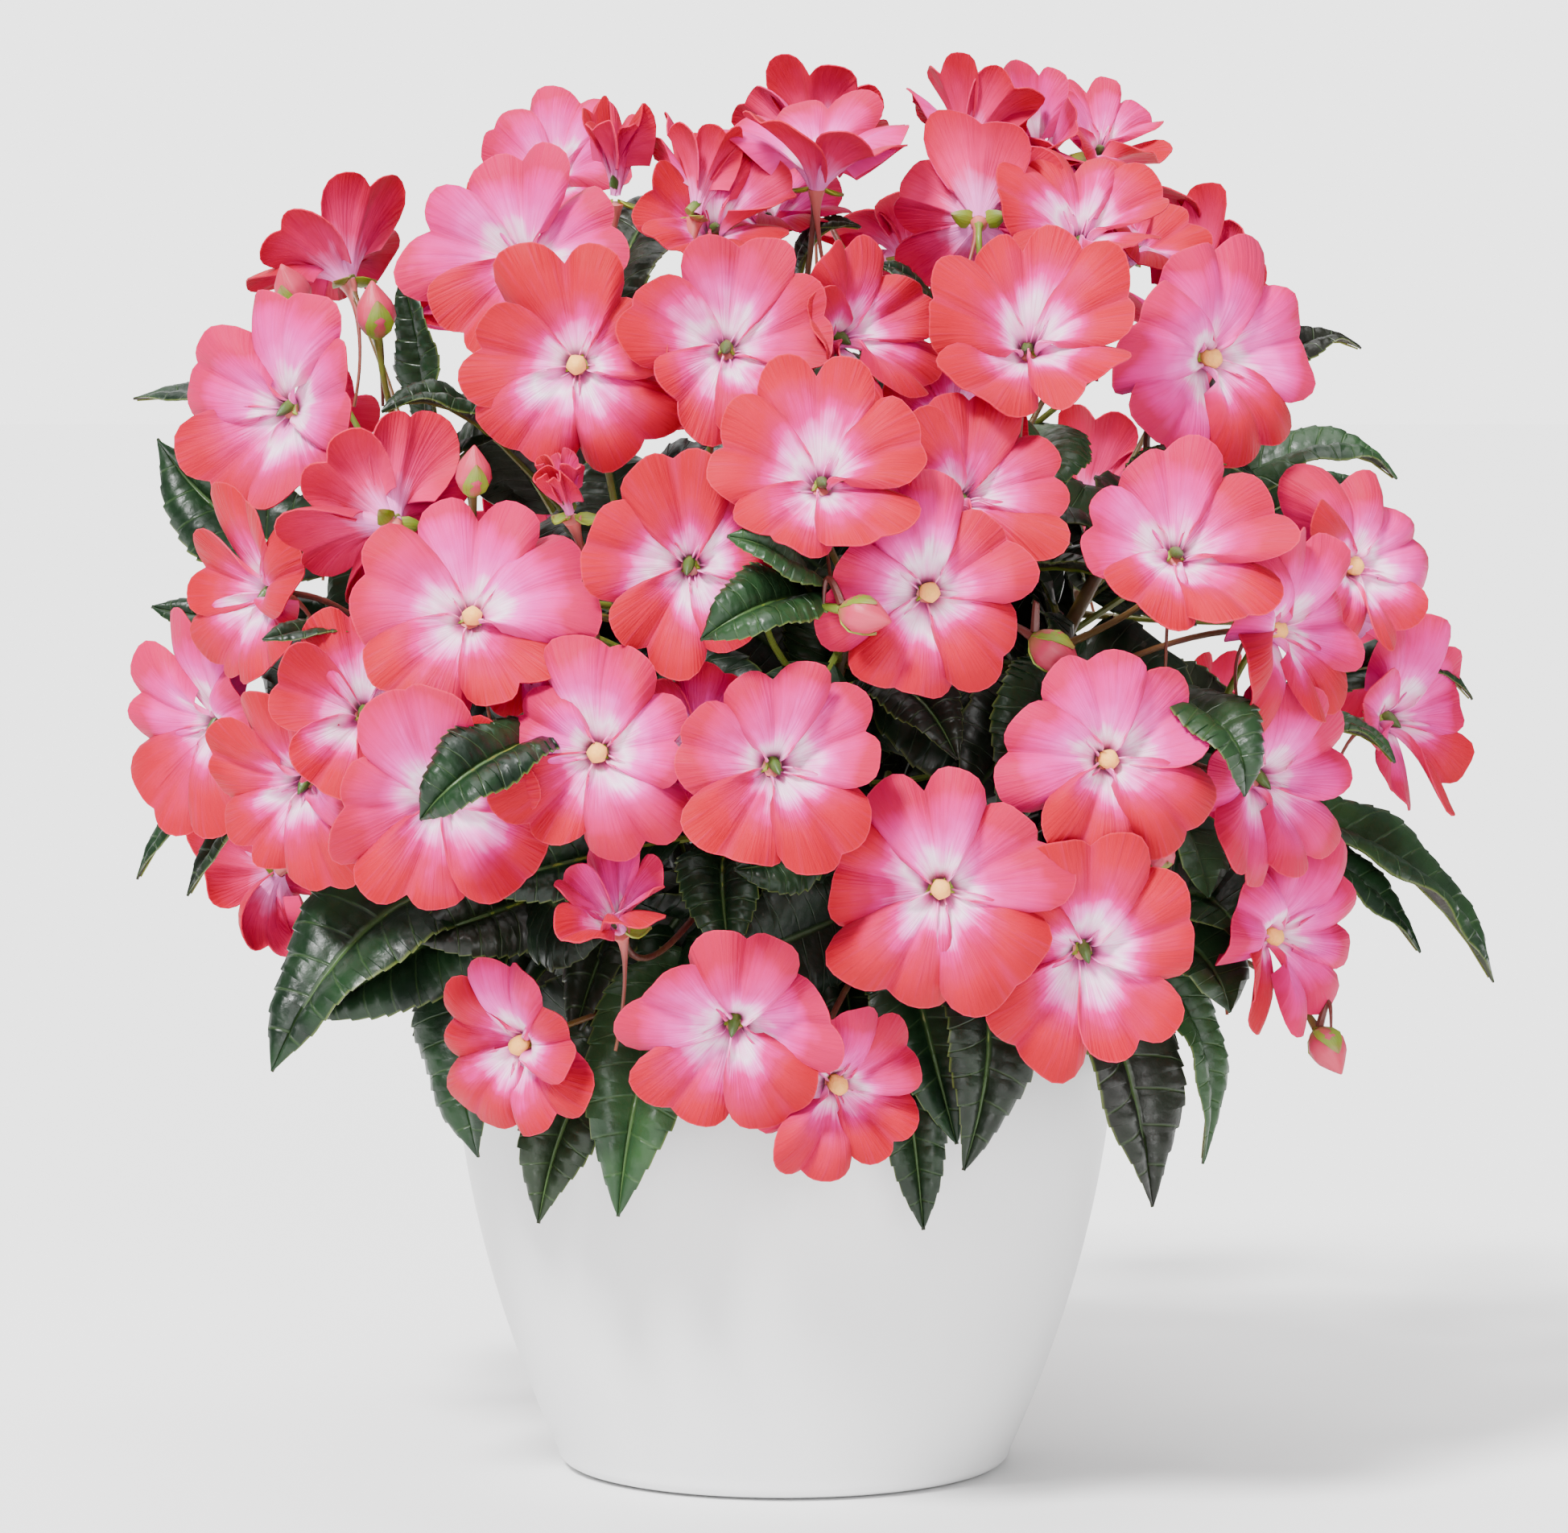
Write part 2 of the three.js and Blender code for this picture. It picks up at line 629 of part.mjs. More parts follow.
function leafSolid(leaf, grow) {
  const { line, width } = leaf;
  const start = leafStart(line);
  const sheet = [];
  const edge = (sign) => {
    const ids = [];
    const put = (x, half) =>
      ids.push(sheet.push(leafStation(leaf, x, sign * half, grow)) - 1);
    const { point, normal } = leafStation(leaf, 0, sign * (PETIOLE_HALF + grow), grow);
    const base = point.clone().sub(line.getPoint(start)).add(line.getPoint(0));
    ids.push(sheet.push({ point: base, normal }) - 1);
    ids.push(sheet.push({ point, normal }) - 1);
    for (const x of TEETH) {
      put(x, (leafProfile(x) * width) / 2 + grow);
      const after = x + TOOTH_STEP;
      put(after, ((leafProfile(after) * width) / 2) * TOOTH_DEPTH + grow);
    }
    return ids;
  };
  const left = edge(-1);
  const right = edge(1);
  const middle = sheet.push(leafStation(leaf, MIDRIB, 0, grow)) - 1;
  const tip = sheet.push(leafStation(leaf, 1, 0, grow)) - 1;
  const triangles = [
    [left[0], right[0], right[1]],
    [left[0], right[1], left[1]],
    [left[1], right[1], middle],
  ];
  // Each half of the blade, from its edge to the midrib.
  const half = (e, flip) => {
    const add = (a, b, c) => triangles.push(flip ? [a, c, b] : [a, b, c]);
    for (let i = 1; i + 1 < e.length; i++) add(e[i], middle, e[i + 1]);
    add(e[e.length - 1], middle, tip);
  };
  half(left, false);
  half(right, true);
  const thick = LEAF_THICK + 2 * grow;
  return blade(
    sheet.map(({ point }) => point),
    sheet.map(({ point, normal }) => point.clone().addScaledVector(normal, -thick)),
    triangles,
    [...right, tip, ...left.reverse()],
  );
}

// A stem's own wood: the main stem out of the mix, and a shoot to each of its tips.
function woodOf(stem, tips, grow) {
  const trunk = rod(
    [
      stemAt(stem, 0.9, SOIL_TOP - STEM_DEPTH),
      stemAt(stem, 1, SOIL_TOP + 4),
      stemAt(stem, 1.5, FORK_HEIGHT),
    ],
    [STEM_RADIUS * 0.8 + grow, STEM_RADIUS + grow, SHOOT_RADIUS * 1.2 + grow],
    5,
  );
  const shoots = tips
    .filter((one) => one.stem === stem)
    .map(({ line }) =>
      rod(
        [line.getPoint(0), line.getPoint(0.5), line.getPoint(1)],
        [SHOOT_RADIUS + grow, SHOOT_RADIUS + grow, SHOOT_RADIUS * 0.75 + grow],
        4,
      ),
    );
  return [trunk, ...shoots];
}

// The stalks, each from the nearest shoot to the back of a bloom or to the foot of a bud.
function listStalks(tips, blooms) {
  const stalk = (end, way, budShape) => {
    const shoot = nearest(tips, end);
    const base = nextNode(shoot);
    const bend = end.clone().addScaledVector(way, -0.45 * end.distanceTo(base));
    return { shoot, line: curve(base, bend, end), budShape };
  };
  return [
    ...blooms.map((bloom) => stalk(bloomBack(bloom), bloom.face)),
    ...BUDS.map((shape) => {
      const [across, up, depth, yaw, pitch] = shape;
      return stalk(seen(across, up, depth), facing(yaw, pitch), shape);
    }),
  ];
}

function stalkSolid({ line, budShape }, grow) {
  const solid = rod(
    [line.getPoint(0), line.getPoint(0.55), line.getPoint(1)],
    [PEDICEL_RADIUS * 1.2 + grow, PEDICEL_RADIUS + grow, PEDICEL_RADIUS + grow],
    3,
  );
  return budShape ? solid.add(bud(budShape, grow)) : solid;
}

// Pot and potting mix

// The pot's outer radius at a height: a bowed side, upright at the rim.
function potRadius(z) {
  const down = 1 - z / POT_HEIGHT;
  return RIM_RADIUS - (RIM_RADIUS - HEEL_RADIUS) * down * down;
}

// Points up the pot's side, moved out by an amount.
function potSide(spans, from, to, off) {
  return Array.from({ length: spans + 1 }, (_, i) => {
    const z = from + ((to - from) * i) / spans;
    return new THREE.Vector2(potRadius(z) + off, z);
  });
}

const INNER_FOOT = HEEL_HEIGHT + POT_FLOOR;
const LIP_HEIGHT = POT_HEIGHT - 1.2;

function potSolid(grow) {
  const profile = [
    new THREE.Vector2(0, -grow),
    new THREE.Vector2(FOOT_RADIUS, -grow),
    new THREE.Vector2(FOOT_RADIUS + 3.8, 1.5 - grow),
    ...potSide(3, HEEL_HEIGHT, LIP_HEIGHT, grow),
    new THREE.Vector2(RIM_RADIUS - 1 + grow, POT_HEIGHT + grow),
    new THREE.Vector2(RIM_RADIUS - POT_WALL + 1 - grow, POT_HEIGHT + grow),
    ...potSide(1, INNER_FOOT, LIP_HEIGHT, -POT_WALL - grow).reverse(),
    new THREE.Vector2(0, POT_FLOOR + grow),
  ];
  return turned(profile);
}

// A body turned about the pot's axis.
function turned(profile) {
  const geometry = new THREE.LatheGeometry(profile, POT_SIDES);
  return solidFrom(geometry.rotateX(Math.PI / 2));
}

// The mix fills the pot up to a low mound.
function soilSolid() {
  const filling = [
    new THREE.Vector2(0, POT_FLOOR + GAP),
    ...potSide(1, INNER_FOOT, LIP_HEIGHT, -POT_WALL - GAP),
    new THREE.Vector2(0, LIP_HEIGHT),
  ];
  const mound = [
    new THREE.Vector2(0, 0),
    new THREE.Vector2(RIM_RADIUS, 0),
    new THREE.Vector2(RIM_RADIUS, SOIL_TOP - 3),
    new THREE.Vector2(0, SOIL_TOP + SOIL_CROWN),
  ];
  return turned(filling).intersect(turned(mound));
}

// Assembly

function build() {
  const plant = new THREE.Group();
  plant.name = "potted_new_guinea_impatiens";
  const tips = shootTips();
  const blooms = listBlooms();
  const stalks = listStalks(tips, blooms);
  const leaves = listLeaves(tips, blooms, stalks);

  plant.add(meshOf("pot", potSolid(0), POT_WHITE));

  // Blooms whose petals cross are one body.
  const heads = blooms.map((bloom, i) => bloomSolid(bloom, i, 0));
  const group = heads.map((_, i) => i);
  const root = (i) => (group[i] === i ? i : root(group[i]));
  heads.forEach((one, i) => {
    for (let j = 0; j < i; j++)
      if (blooms[i].throat.distanceTo(blooms[j].throat) < 80)
        if (one.intersect(heads[j]).volume() > 0) group[root(i)] = root(j);
  });
  heads.forEach((_, i) => {
    if (root(i) !== i) return;
    const members = heads.filter((_, j) => root(j) === i);
    const kind = members.length > 1 ? "bloom_cluster_" : "bloom_";
    const name = kind + String(i + 1).padStart(2, "0");
    plant.add(meshOf(name, joined(members), PETAL_CORAL));
  });

  const greenOf = (stem, grow) => {
    const here = ({ shoot }) => shoot.stem === stem;
    return joined([
      ...woodOf(stem, tips, grow),
      ...stalks.filter(here).map((stalk) => stalkSolid(stalk, grow)),
      ...leaves.filter(here).map((leaf) => leafSolid(leaf, grow)),
    ]);
  };
  let keepOut = joined([
    ...blooms.map((bloom, i) => bloomSolid(bloom, i, GAP)),
    potSolid(GAP),
  ]);
  let soil = soilSolid();
  for (let stem = 0; stem <= OUTER_STEMS; stem++) {
    const green = largestBody(greenOf(stem, 0).subtract(keepOut));
    const grown = greenOf(stem, GAP);
    soil = soil.subtract(grown);
    keepOut = keepOut.add(grown);
    plant.add(meshOf("leafy_stem_" + (stem + 1), green, LEAF_GREEN));
  }
  plant.add(meshOf("soil", largestBody(soil), SOIL_BROWN));
  return plant;
}

export default build();
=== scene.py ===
# Looks of the potted New Guinea impatiens: petals, leaves, stems, pot and mix in their finer forms.
# Lengths are in millimetres up to the last step, where a piece is made in metres. +Z is up and the
# front of the plant faces -Y.
from math import atan2, cos, hypot, pi, radians, sin, sqrt, tan
from types import SimpleNamespace as Record

import bpy
import numpy as np
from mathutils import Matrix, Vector


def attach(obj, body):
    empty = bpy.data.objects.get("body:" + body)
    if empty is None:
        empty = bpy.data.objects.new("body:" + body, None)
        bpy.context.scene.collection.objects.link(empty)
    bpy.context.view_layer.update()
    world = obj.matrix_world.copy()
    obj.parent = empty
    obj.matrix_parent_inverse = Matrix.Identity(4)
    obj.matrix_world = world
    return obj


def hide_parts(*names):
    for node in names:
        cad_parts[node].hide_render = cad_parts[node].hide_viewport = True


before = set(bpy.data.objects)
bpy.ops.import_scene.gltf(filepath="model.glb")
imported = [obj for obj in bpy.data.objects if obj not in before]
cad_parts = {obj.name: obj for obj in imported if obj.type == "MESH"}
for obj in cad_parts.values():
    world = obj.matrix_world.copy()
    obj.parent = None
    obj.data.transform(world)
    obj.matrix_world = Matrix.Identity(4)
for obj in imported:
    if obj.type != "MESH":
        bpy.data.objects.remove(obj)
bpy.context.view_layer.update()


def vec(x, y, z):
    return np.array([x, y, z], float)


MM = 0.001
PHOTO_WIDTH = 1948
PHOTO_SCALE = 4.15  # the photograph's pixels in a millimetre at the pot's axis
AIM_HEIGHT = 210  # the height that the middle of the front view shows
SENSOR_WIDTH = 36

# Driving dimensions of the plant and its pot
POT_HEIGHT = 145
POT_WALL = 3.5
POT_FLOOR = 5
FOOT_RADIUS = 61.5
HEEL_RADIUS = 66
HEEL_HEIGHT = 5
RIM_RADIUS = 100
SOIL_TOP = 130
SOIL_CROWN = 5
DOME_CENTRE = 240
DOME_RADIUS = 185
DOME_RISE = 162
EYE = vec(0, -2150, 387)  # where the camera stands
PETAL_SCALE = 1.05
LEAF_LONGEST = 92
LEAF_FOLD = 0.3
STEM_RADIUS = 4.2
SHOOT_RADIUS = 2.4
PEDICEL_RADIUS = 0.95
STEM_DEPTH = 45
OUTER_STEMS = 6
STEM_RING = 34
SHOOT_SHARE = 0.62
MIDDLE_STEM_REACH = 68
FORK_HEIGHT = DOME_CENTRE - 52
GOLDEN_ANGLE = pi * (3 - sqrt(5))
GAP = 0.35

# Blooms as the front view shows them: across and up to the throat, back from the dome's surface,
# yaw and pitch of the way it faces, roll of its top petal, petal length, and how far it is open.
FRONT_BLOOMS = [
    [-131, 357, 0, -140, 52, 0, 29, 62],
    [-149, 317, 0, -38, 6, 8, 34, 74],
    [-77, 361, 12, -12, 22, -6, 34, 72],
    [-68, 385, 34, -20, 38, 10, 27, 66],
    [-50, 384, 0, 10, 74, 0, 24, 26],
    [-26, 378, 10, 160, 66, 30, 24, 34],
    [-62, 330, 0, -6, 6, -5, 33, 80],
    [-17, 335, 8, 4, 20, 4, 32, 68],
    [-21, 371, 24, 0, 42, 0, 26, 60],
    [10, 386, 4, 20, 76, 0, 34, 58],
    [-5, 374, 52, 0, 60, 12, 24, 70],
    [9, 396, 76, 180, 50, 0, 25, 66],
    [18, 338, 18, 42, 14, -8, 28, 56],
    [54, 396, 4, 170, 58, 20, 25, 48],
    [75, 392, 22, -22, 34, 6, 26, 46],
    [58, 373, 16, 178, 14, 0, 28, 72],
    [88, 367, 0, 12, 46, 0, 30, 62],
    [94, 394, 56, 30, 50, 0, 22, 60],
    [73, 335, 0, 2, 30, 0, 35, 64],
    [104, 364, 24, 55, 52, 18, 26, 64],
    [127, 356, 34, 120, 36, 0, 26, 70],
    [127, 332, 0, 38, 2, 6, 33, 76],
    [50, 312, 54, 6, -6, 0, 24, 72],
    [-118, 284, 14, -150, 26, -20, 33, 70],
    [-155, 262, 10, -52, 2, 0, 30, 70],
    [-170, 223, 26, -46, -4, 0, 32, 70],
    [-94, 255, 0, 0, 24, 4, 36, 74],
    [-65, 289, 10, -24, 52, 0, 15, 24],
    [-28, 270, 10, -2, 4, -8, 32, 72],
    [11, 295, -6, 0, 32, 0, 34, 66],
    [53, 290, 14, 22, 22, 10, 31, 66],
    [43, 262, 2, 6, 6, -12, 31, 76],
    [117, 274, 0, 4, 32, -4, 33, 66],
    [170, 270, 4, 38, 10, 0, 28, 76],
    [147, 251, 0, 50, 2, 14, 31, 68],
    [-126, 226, 10, -6, 18, -6, 30, 70],
    [-144, 205, 14, -36, -14, 10, 30, 70],
    [-103, 200, -10, -2, -12, -16, 35, 72],
    [-76, 246, 34, -4, -20, 0, 22, 72],
    [-56, 214, 0, -6, 2, 6, 30, 80],
    [-3, 210, -2, 10, 8, 0, 32, 74],
    [-26, 217, 28, -6, -6, 20, 24, 74],
    [97, 212, 2, 16, 8, -14, 33, 76],
    [182, 224, 24, 52, 4, 0, 29, 70],
    [143, 206, 8, 42, -4, 0, 33, 70],
    [-50, 163, 6, -14, 40, 0, 24, 38],
    [47, 173, -2, 0, 2, -6, 35, 82],
    [90, 154, -14, 10, -8, 0, 36, 76],
    [147, 159, 2, 46, -6, 10, 30, 66],
    [-79, 126, -4, -34, -10, 4, 27, 68],
    [-15, 132, -6, 0, -16, 6, 32, 74],
    [16, 114, -10, 20, -10, -12, 27, 68],
]

# Buds: across, up and depth, yaw and pitch of the tip, and the bud's length.
BUDS = [
    [-121, 338, -76, -20, 76, 17], [-144, 346, -26, -40, 60, 16], [17, 257, -186, 60, -10, 16],
    [74, 249, -148, 74, -34, 17], [-93, 291, -143, 10, 72, 15], [51, 384, -22, -30, 76, 12],
    [160, 131, -72, 40, -50, 16], [112, 182, -118, 10, 20, 12],
]

# Leaves: across, up and depth of the tip, then of the point the midrib bends round, and the width.
SEEN_LEAVES = [
    [-187, 308, 8, -158, 262, -6, 34], [-194, 320, 2, -160, 326, 0, 22],
    [-189, 258, 4, -160, 250, -6, 20], [-194, 176, -30, -178, 214, -26, 19],
    [-179, 171, -56, -160, 208, -48, 21], [-154, 118, -104, -124, 186, -100, 42],
    [-144, 134, -84, -92, 166, -92, 36], [-112, 158, -104, -72, 170, -104, 28],
    [-92, 92, -96, -106, 146, -98, 34], [-74, 72, -116, -66, 124, -116, 27],
    [-50, 74, -128, -42, 150, -128, 33], [42, 70, -116, 38, 120, -118, 22],
    [52, 96, -116, 36, 156, -118, 30], [54, 88, -124, 74, 150, -120, 30],
    [111, 77, -86, 102, 150, -90, 42], [126, 90, -66, 136, 148, -66, 20],
    [213, 145, -24, 182, 206, -20, 38], [191, 154, -34, 172, 184, -34, 24],
    [206, 230, -12, 190, 256, -8, 15], [183, 296, -30, 158, 324, -30, 27],
    [172, 335, 12, 150, 350, 8, 17], [172, 296, -6, 146, 292, -14, 25],
    [-120, 316, -84, -96, 334, -84, 24], [-114, 357, -36, -104, 322, -42, 22],
    [-156, 248, -136, -124, 258, -128, 20], [-109, 194, -190, -86, 226, -214, 24],
    [-93, 173, -142, -62, 184, -140, 22], [-17, 279, -192, 10, 276, -204, 18],
    [-25, 248, -194, 2, 268, -210, 23], [-15, 179, -150, 16, 182, -146, 24],
    [138, 201, -150, 141, 238, -168, 26], [183, 211, -62, 170, 236, -58, 17],
    [23, 371, -66, 2, 378, -64, 14], [27, 360, -84, 50, 358, -84, 18],
    [72, 292, -112, 90, 314, -106, 26], [141, 296, -84, 116, 316, -86, 23],
    [52, 212, -150, 38, 246, -144, 22], [66, 190, -132, 80, 238, -128, 30],
    [-16, 150, -148, -22, 192, -144, 24],
]

# Shoots that end under the front blooms: across, up and depth of their tips.
FRONT_SHOOTS = [
    [-112, 300, -36], [-58, 334, -58], [2, 346, -62], [60, 338, -58], [110, 300, -46],
    [-112, 236, -66], [-48, 270, -112], [22, 264, -118], [84, 248, -104], [130, 222, -48],
    [-84, 176, -92], [-22, 196, -122], [44, 172, -112], [96, 156, -84], [-34, 142, -94],
]

# Every piece draws its chances from streams of its own, which start from these numbers.
BACK_SEED = 41
BLOOM_SEED = 100
PETAL_SEED = 5000
LEAF_SEED = 900
INNER_LEAF_SEED = 1400
STEM_SEED = 300

# What the front view hides. Heights: the highest, and how far down they spread, in shares of the
# dome. Lengths and widths: the least, and how much more by chance.
BACK_BLOOMS = 15
BACK_BLOOM_HEIGHTS = (0.9, 1.46)
BACK_SHOOTS = 7
BACK_SHOOT_HEIGHTS = (0.94, 1.4)
WHORL = 2
WHORL_SEED = 7
WHORL_TRIES = 6
WHORL_LENGTH = (58, 26)
WHORL_WIDTH = (27, 8)
LEAF_DROOP = vec(0, 0, -8)
SHOOT_SAG = vec(0, 0, -8)
FORK_DROP = vec(0, 0, -5)
BLOOM_CLEAR = 4
STALK_CLEAR = 6
LEAF_CLEAR = 22
PETALS = 5
PETAL_LENGTHS = [1.04, 0.97, 1.0, 1.0, 0.97]
THROAT_DEPTH = 3.5
COLUMN_RADIUS = 2.4

# Blooms whose cream caps of anthers are still on; the others show the green ovary.
CAPPED_BLOOMS = {6, 21, 26, 31, 33, 34, 39, 42, 46, 48, 49, 51, 54, 57, 60, 63}


# Small sums with vectors


def unit(a):
    return a / np.linalg.norm(a, axis=-1, keepdims=True)


def dist(a, b):
    return float(np.linalg.norm(a - b))


def across_to(direction, hint):
    """The part of a hint that stands at right angles to a direction."""
    return unit(hint - direction * np.dot(hint, direction))


def swing(a, b, turn):
    """The way that lies at an angle from a first way towards a second."""
    return a * cos(turn) + b * sin(turn)


def round_axis(ring, turn, z):
    """A point at a distance from the pot's axis, at an angle round it and at a height."""
    return vec(ring * cos(turn), ring * sin(turn), z)


def spaced(i, count, heights):
    """The height of one of a number of things that are spread evenly downwards."""
    top, fall = heights
    return top - fall * (i + 0.5) / count


def by_chance(draw, limits):
    least, more = limits
    return least + more * draw()


def seeded(seed):
    """A repeatable stream of numbers from 0 to 1."""
    state = seed & 0xFFFFFFFF

    def draw():
        nonlocal state
        state = (state + 0x6D2B79F5) & 0xFFFFFFFF
        t = state
        t = ((t ^ (t >> 15)) * (t | 1)) & 0xFFFFFFFF
        t = t ^ ((t + ((t ^ (t >> 7)) * (t | 61))) & 0xFFFFFFFF)
        return ((t ^ (t >> 14)) & 0xFFFFFFFF) / 4294967296

    return draw


class Curve:
    """A curve from one point to another that bends towards a third between them."""

    def __init__(self, start, bend, end):
        self.p = [start, bend, end]

    def at(self, t):
        t = np.asarray(t, float)[..., None]
        a, b, c = self.p
        return (1 - t) ** 2 * a + 2 * t * (1 - t) * b + t * t * c

    def tangent(self, t):
        t = np.asarray(t, float)[..., None]
        a, b, c = self.p
        return unit((1 - t) * (b - a) + t * (c - b))

    def length(self):
        points = self.at(np.linspace(0, 1, 201))
        return float(np.linalg.norm(np.diff(points, axis=0), axis=1).sum())


# Places on the plant


def seen(across, up, depth):
    """The point that the front view shows at a place, at a depth behind the pot's axis."""
    share = (depth - EYE[1]) / -EYE[1]
    return EYE + (vec(across, 0, up) - EYE) * share


def on_dome(across, up, back):
    """The point that the front view shows at a place on the dome, or back from its surface."""
    way = vec(across, 0, up) - EYE
    squash = DOME_RADIUS / DOME_RISE
    start = vec(EYE[0], EYE[1], (EYE[2] - DOME_CENTRE) * squash)
    to = way * vec(1, 1, squash)
    a = to @ to
    b = start @ to
    c = start @ start - DOME_RADIUS**2
    reach = (-b - sqrt(max(0, b * b - a * c))) / a
    return EYE + way * (reach + back / np.linalg.norm(way))


def facing(yaw, pitch):
    """The way that turns to the right of the front by a yaw and up by a pitch, in degrees."""
    turn, rise = radians(yaw), radians(pitch)
    return vec(sin(turn) * cos(rise), -cos(turn) * cos(rise), sin(rise))


def outward(point):
    """The way out of the dome at a point."""
    return unit((point - vec(0, 0, DOME_CENTRE)) / vec(DOME_RADIUS, DOME_RADIUS, DOME_RISE) ** 2)


def back_turn(i):
    """The angle round the axis of one of the things that are spread over the plant's back."""
    return pi * (0.06 + 0.88 * ((i * GOLDEN_ANGLE / (2 * pi)) % 1))


def on_shell(ring_share, up_share, height, turn):
    """A point on the dome, or within it by shares of its radius and of its rise."""
    ring = DOME_RADIUS * ring_share * sqrt(1 - height * height)
    return round_axis(ring, turn, DOME_CENTRE + DOME_RISE * up_share * height)


def list_blooms():
    blooms = []

    def add(throat, face, roll, petal, wide):
        blooms.append(Record(throat=throat, face=face, roll=roll, petal=petal, open=wide))

    for across, up, back, yaw, pitch, roll, petal, wide in FRONT_BLOOMS:
        throat = on_dome(across, up, back)
        nearer = dist(throat, EYE) / np.linalg.norm(EYE)
        add(throat, facing(yaw, pitch), roll, PETAL_SCALE * petal * nearer, wide)
    draw = seeded(BACK_SEED)
    for i in range(BACK_BLOOMS):
        height = spaced(i, BACK_BLOOMS, BACK_BLOOM_HEIGHTS)
        throat = on_shell(0.97 + 0.05 * draw(), 1, height, back_turn(i))
        drift = vec(draw() - 0.5, draw() - 0.5, draw() - 0.1) * 0.7
        face = unit(outward(throat) + drift)
        add(throat, face, 30 * (draw() - 0.5), 30 + 5 * draw(), 66 + 14 * draw())
    return blooms


def stem_at(stem, reach, z):
    turn = (stem + 0.5) * 2 * pi / OUTER_STEMS
    return round_axis(0 if stem == OUTER_STEMS else STEM_RING * reach, turn, z)


def list_shoots():
    points = [seen(*row) for row in FRONT_SHOOTS]
    for i in range(BACK_SHOOTS):
        height = spaced(i, BACK_SHOOTS, BACK_SHOOT_HEIGHTS)
        points.append(on_shell(SHOOT_SHARE, SHOOT_SHARE, height, back_turn(i)))
    shoots = []
    for point in points:
        round_ = (atan2(point[1], point[0]) / (2 * pi) + 1) % 1
        near_axis = hypot(point[0], point[1]) < MIDDLE_STEM_REACH
        stem = OUTER_STEMS if near_axis else int(round_ * OUTER_STEMS)
        fork = stem_at(stem, 1.5, FORK_HEIGHT)
        bend = fork + (point - fork) * 0.5 + SHOOT_SAG
        line = Curve(fork + FORK_DROP, bend, point)
        shoots.append(Record(point=point, stem=stem, line=line, grown=0))
    return shoots


def next_node(shoot):
    """Where the next leaf or stalk grows from a shoot."""
    down = 0.05 + 0.9 * ((0.618 * shoot.grown) % 1)
    shoot.grown += 1
    tip, half = shoot.line.at(1), shoot.line.at(0.5)
    return tip + (half - tip) * down


def nearest(shoots, point):
    return min(shoots, key=lambda one: dist(one.point, point))


def heel_depth(wide):
    return THROAT_DEPTH + 0.8 + (foot_radius(wide) + 1) / tan(radians(wide))


def foot_radius(wide):
    return COLUMN_RADIUS * sin(radians(wide))


def list_stalks(shoots, blooms):
    def stalk(end, way, bud=None):
        shoot = nearest(shoots, end)
        base = next_node(shoot)
        bend = end - way * 0.45 * dist(end, base)
        return Record(shoot=shoot, line=Curve(base, bend, end), bud=bud)

    stalks = []
    for bloom in blooms:
        back = bloom.throat - bloom.face * (heel_depth(bloom.open) + 3 * GAP)
        stalks.append(stalk(back, bloom.face))
    for row in BUDS:
        across, up, depth, yaw, pitch, _ = row
        stalks.append(stalk(seen(across, up, depth), facing(yaw, pitch), row))
    return stalks


def leaf_profile(x):
    return 3.34 * x**0.8 * (1 - x) ** 0.95


def leaf_start(line):
    return 1 - min(0.84, LEAF_LONGEST / line.length())


def leaf_frame(leaf, x):
    """The midrib's points, and the ways across the blade and out of its face, at shares of it."""
    line, start = leaf.line, leaf.start
    t = np.maximum(0, start + (1 - start) * np.asarray(x, float))
    along = line.tangent(t)
    hint = outward(line.at(0.6)) + vec(0, 0, 0.45)
    normal = unit(hint - along * (along @ hint)[..., None])
    return line.at(t), np.cross(along, normal), normal


def new_leaf(shoot, line, width, dim=0.0):
    """A leaf on its stalk's line; dim says how deep in shade it is, from 0 to 1."""
    return Record(shoot=shoot, line=line, width=width, start=leaf_start(line), dim=dim)


def leaf_samples(leaf):
    x = np.array([0.3, 0.5, 0.7, 0.95])
    middle, side, normal = leaf_frame(leaf, x)
    half = (leaf_profile(x) * leaf.width / 2)[:, None]
    rows = []
    for edge in (-0.8, 0, 0.8):
        out = side * edge * half * cos(LEAF_FOLD)
        rows.append(middle + out + normal * abs(edge) * half * sin(LEAF_FOLD))
    return np.concatenate(rows)


def has_room(leaf, leaves, blooms, stalks):
    samples = leaf_samples(leaf)
    for point in samples:
        if point[2] < POT_HEIGHT + 5 and hypot(point[0], point[1]) < RIM_RADIUS + 6:
            return False
    for bloom in blooms:
        away = samples - bloom.throat
        along = away @ bloom.face
        out = np.sqrt(np.maximum(0, (away**2).sum(1) - along**2))
        wide = radians(bloom.open)
        off = along * sin(wide) - out * cos(wide)
        if np.any((out < bloom.petal + BLOOM_CLEAR) & (abs(off) < BLOOM_CLEAR + 2)):
            return False

    def apart(points, least):
        return np.linalg.norm(samples[:, None] - points[None], axis=2).min() > least

    if not all(apart(other.samples, LEAF_CLEAR) for other in leaves):
        return False
    spots = np.array([0.3, 0.5, 0.7, 0.9])
    return all(apart(one.line.at(spots), STALK_CLEAR) for one in stalks)


def shoot_axes(shoot):
    """The way out of the dome at a shoot's tip, and two ways across it."""
    axis = outward(shoot.point)
    side = unit(np.cross(axis, vec(0, 0, 1)))
    return axis, side, np.cross(axis, side)


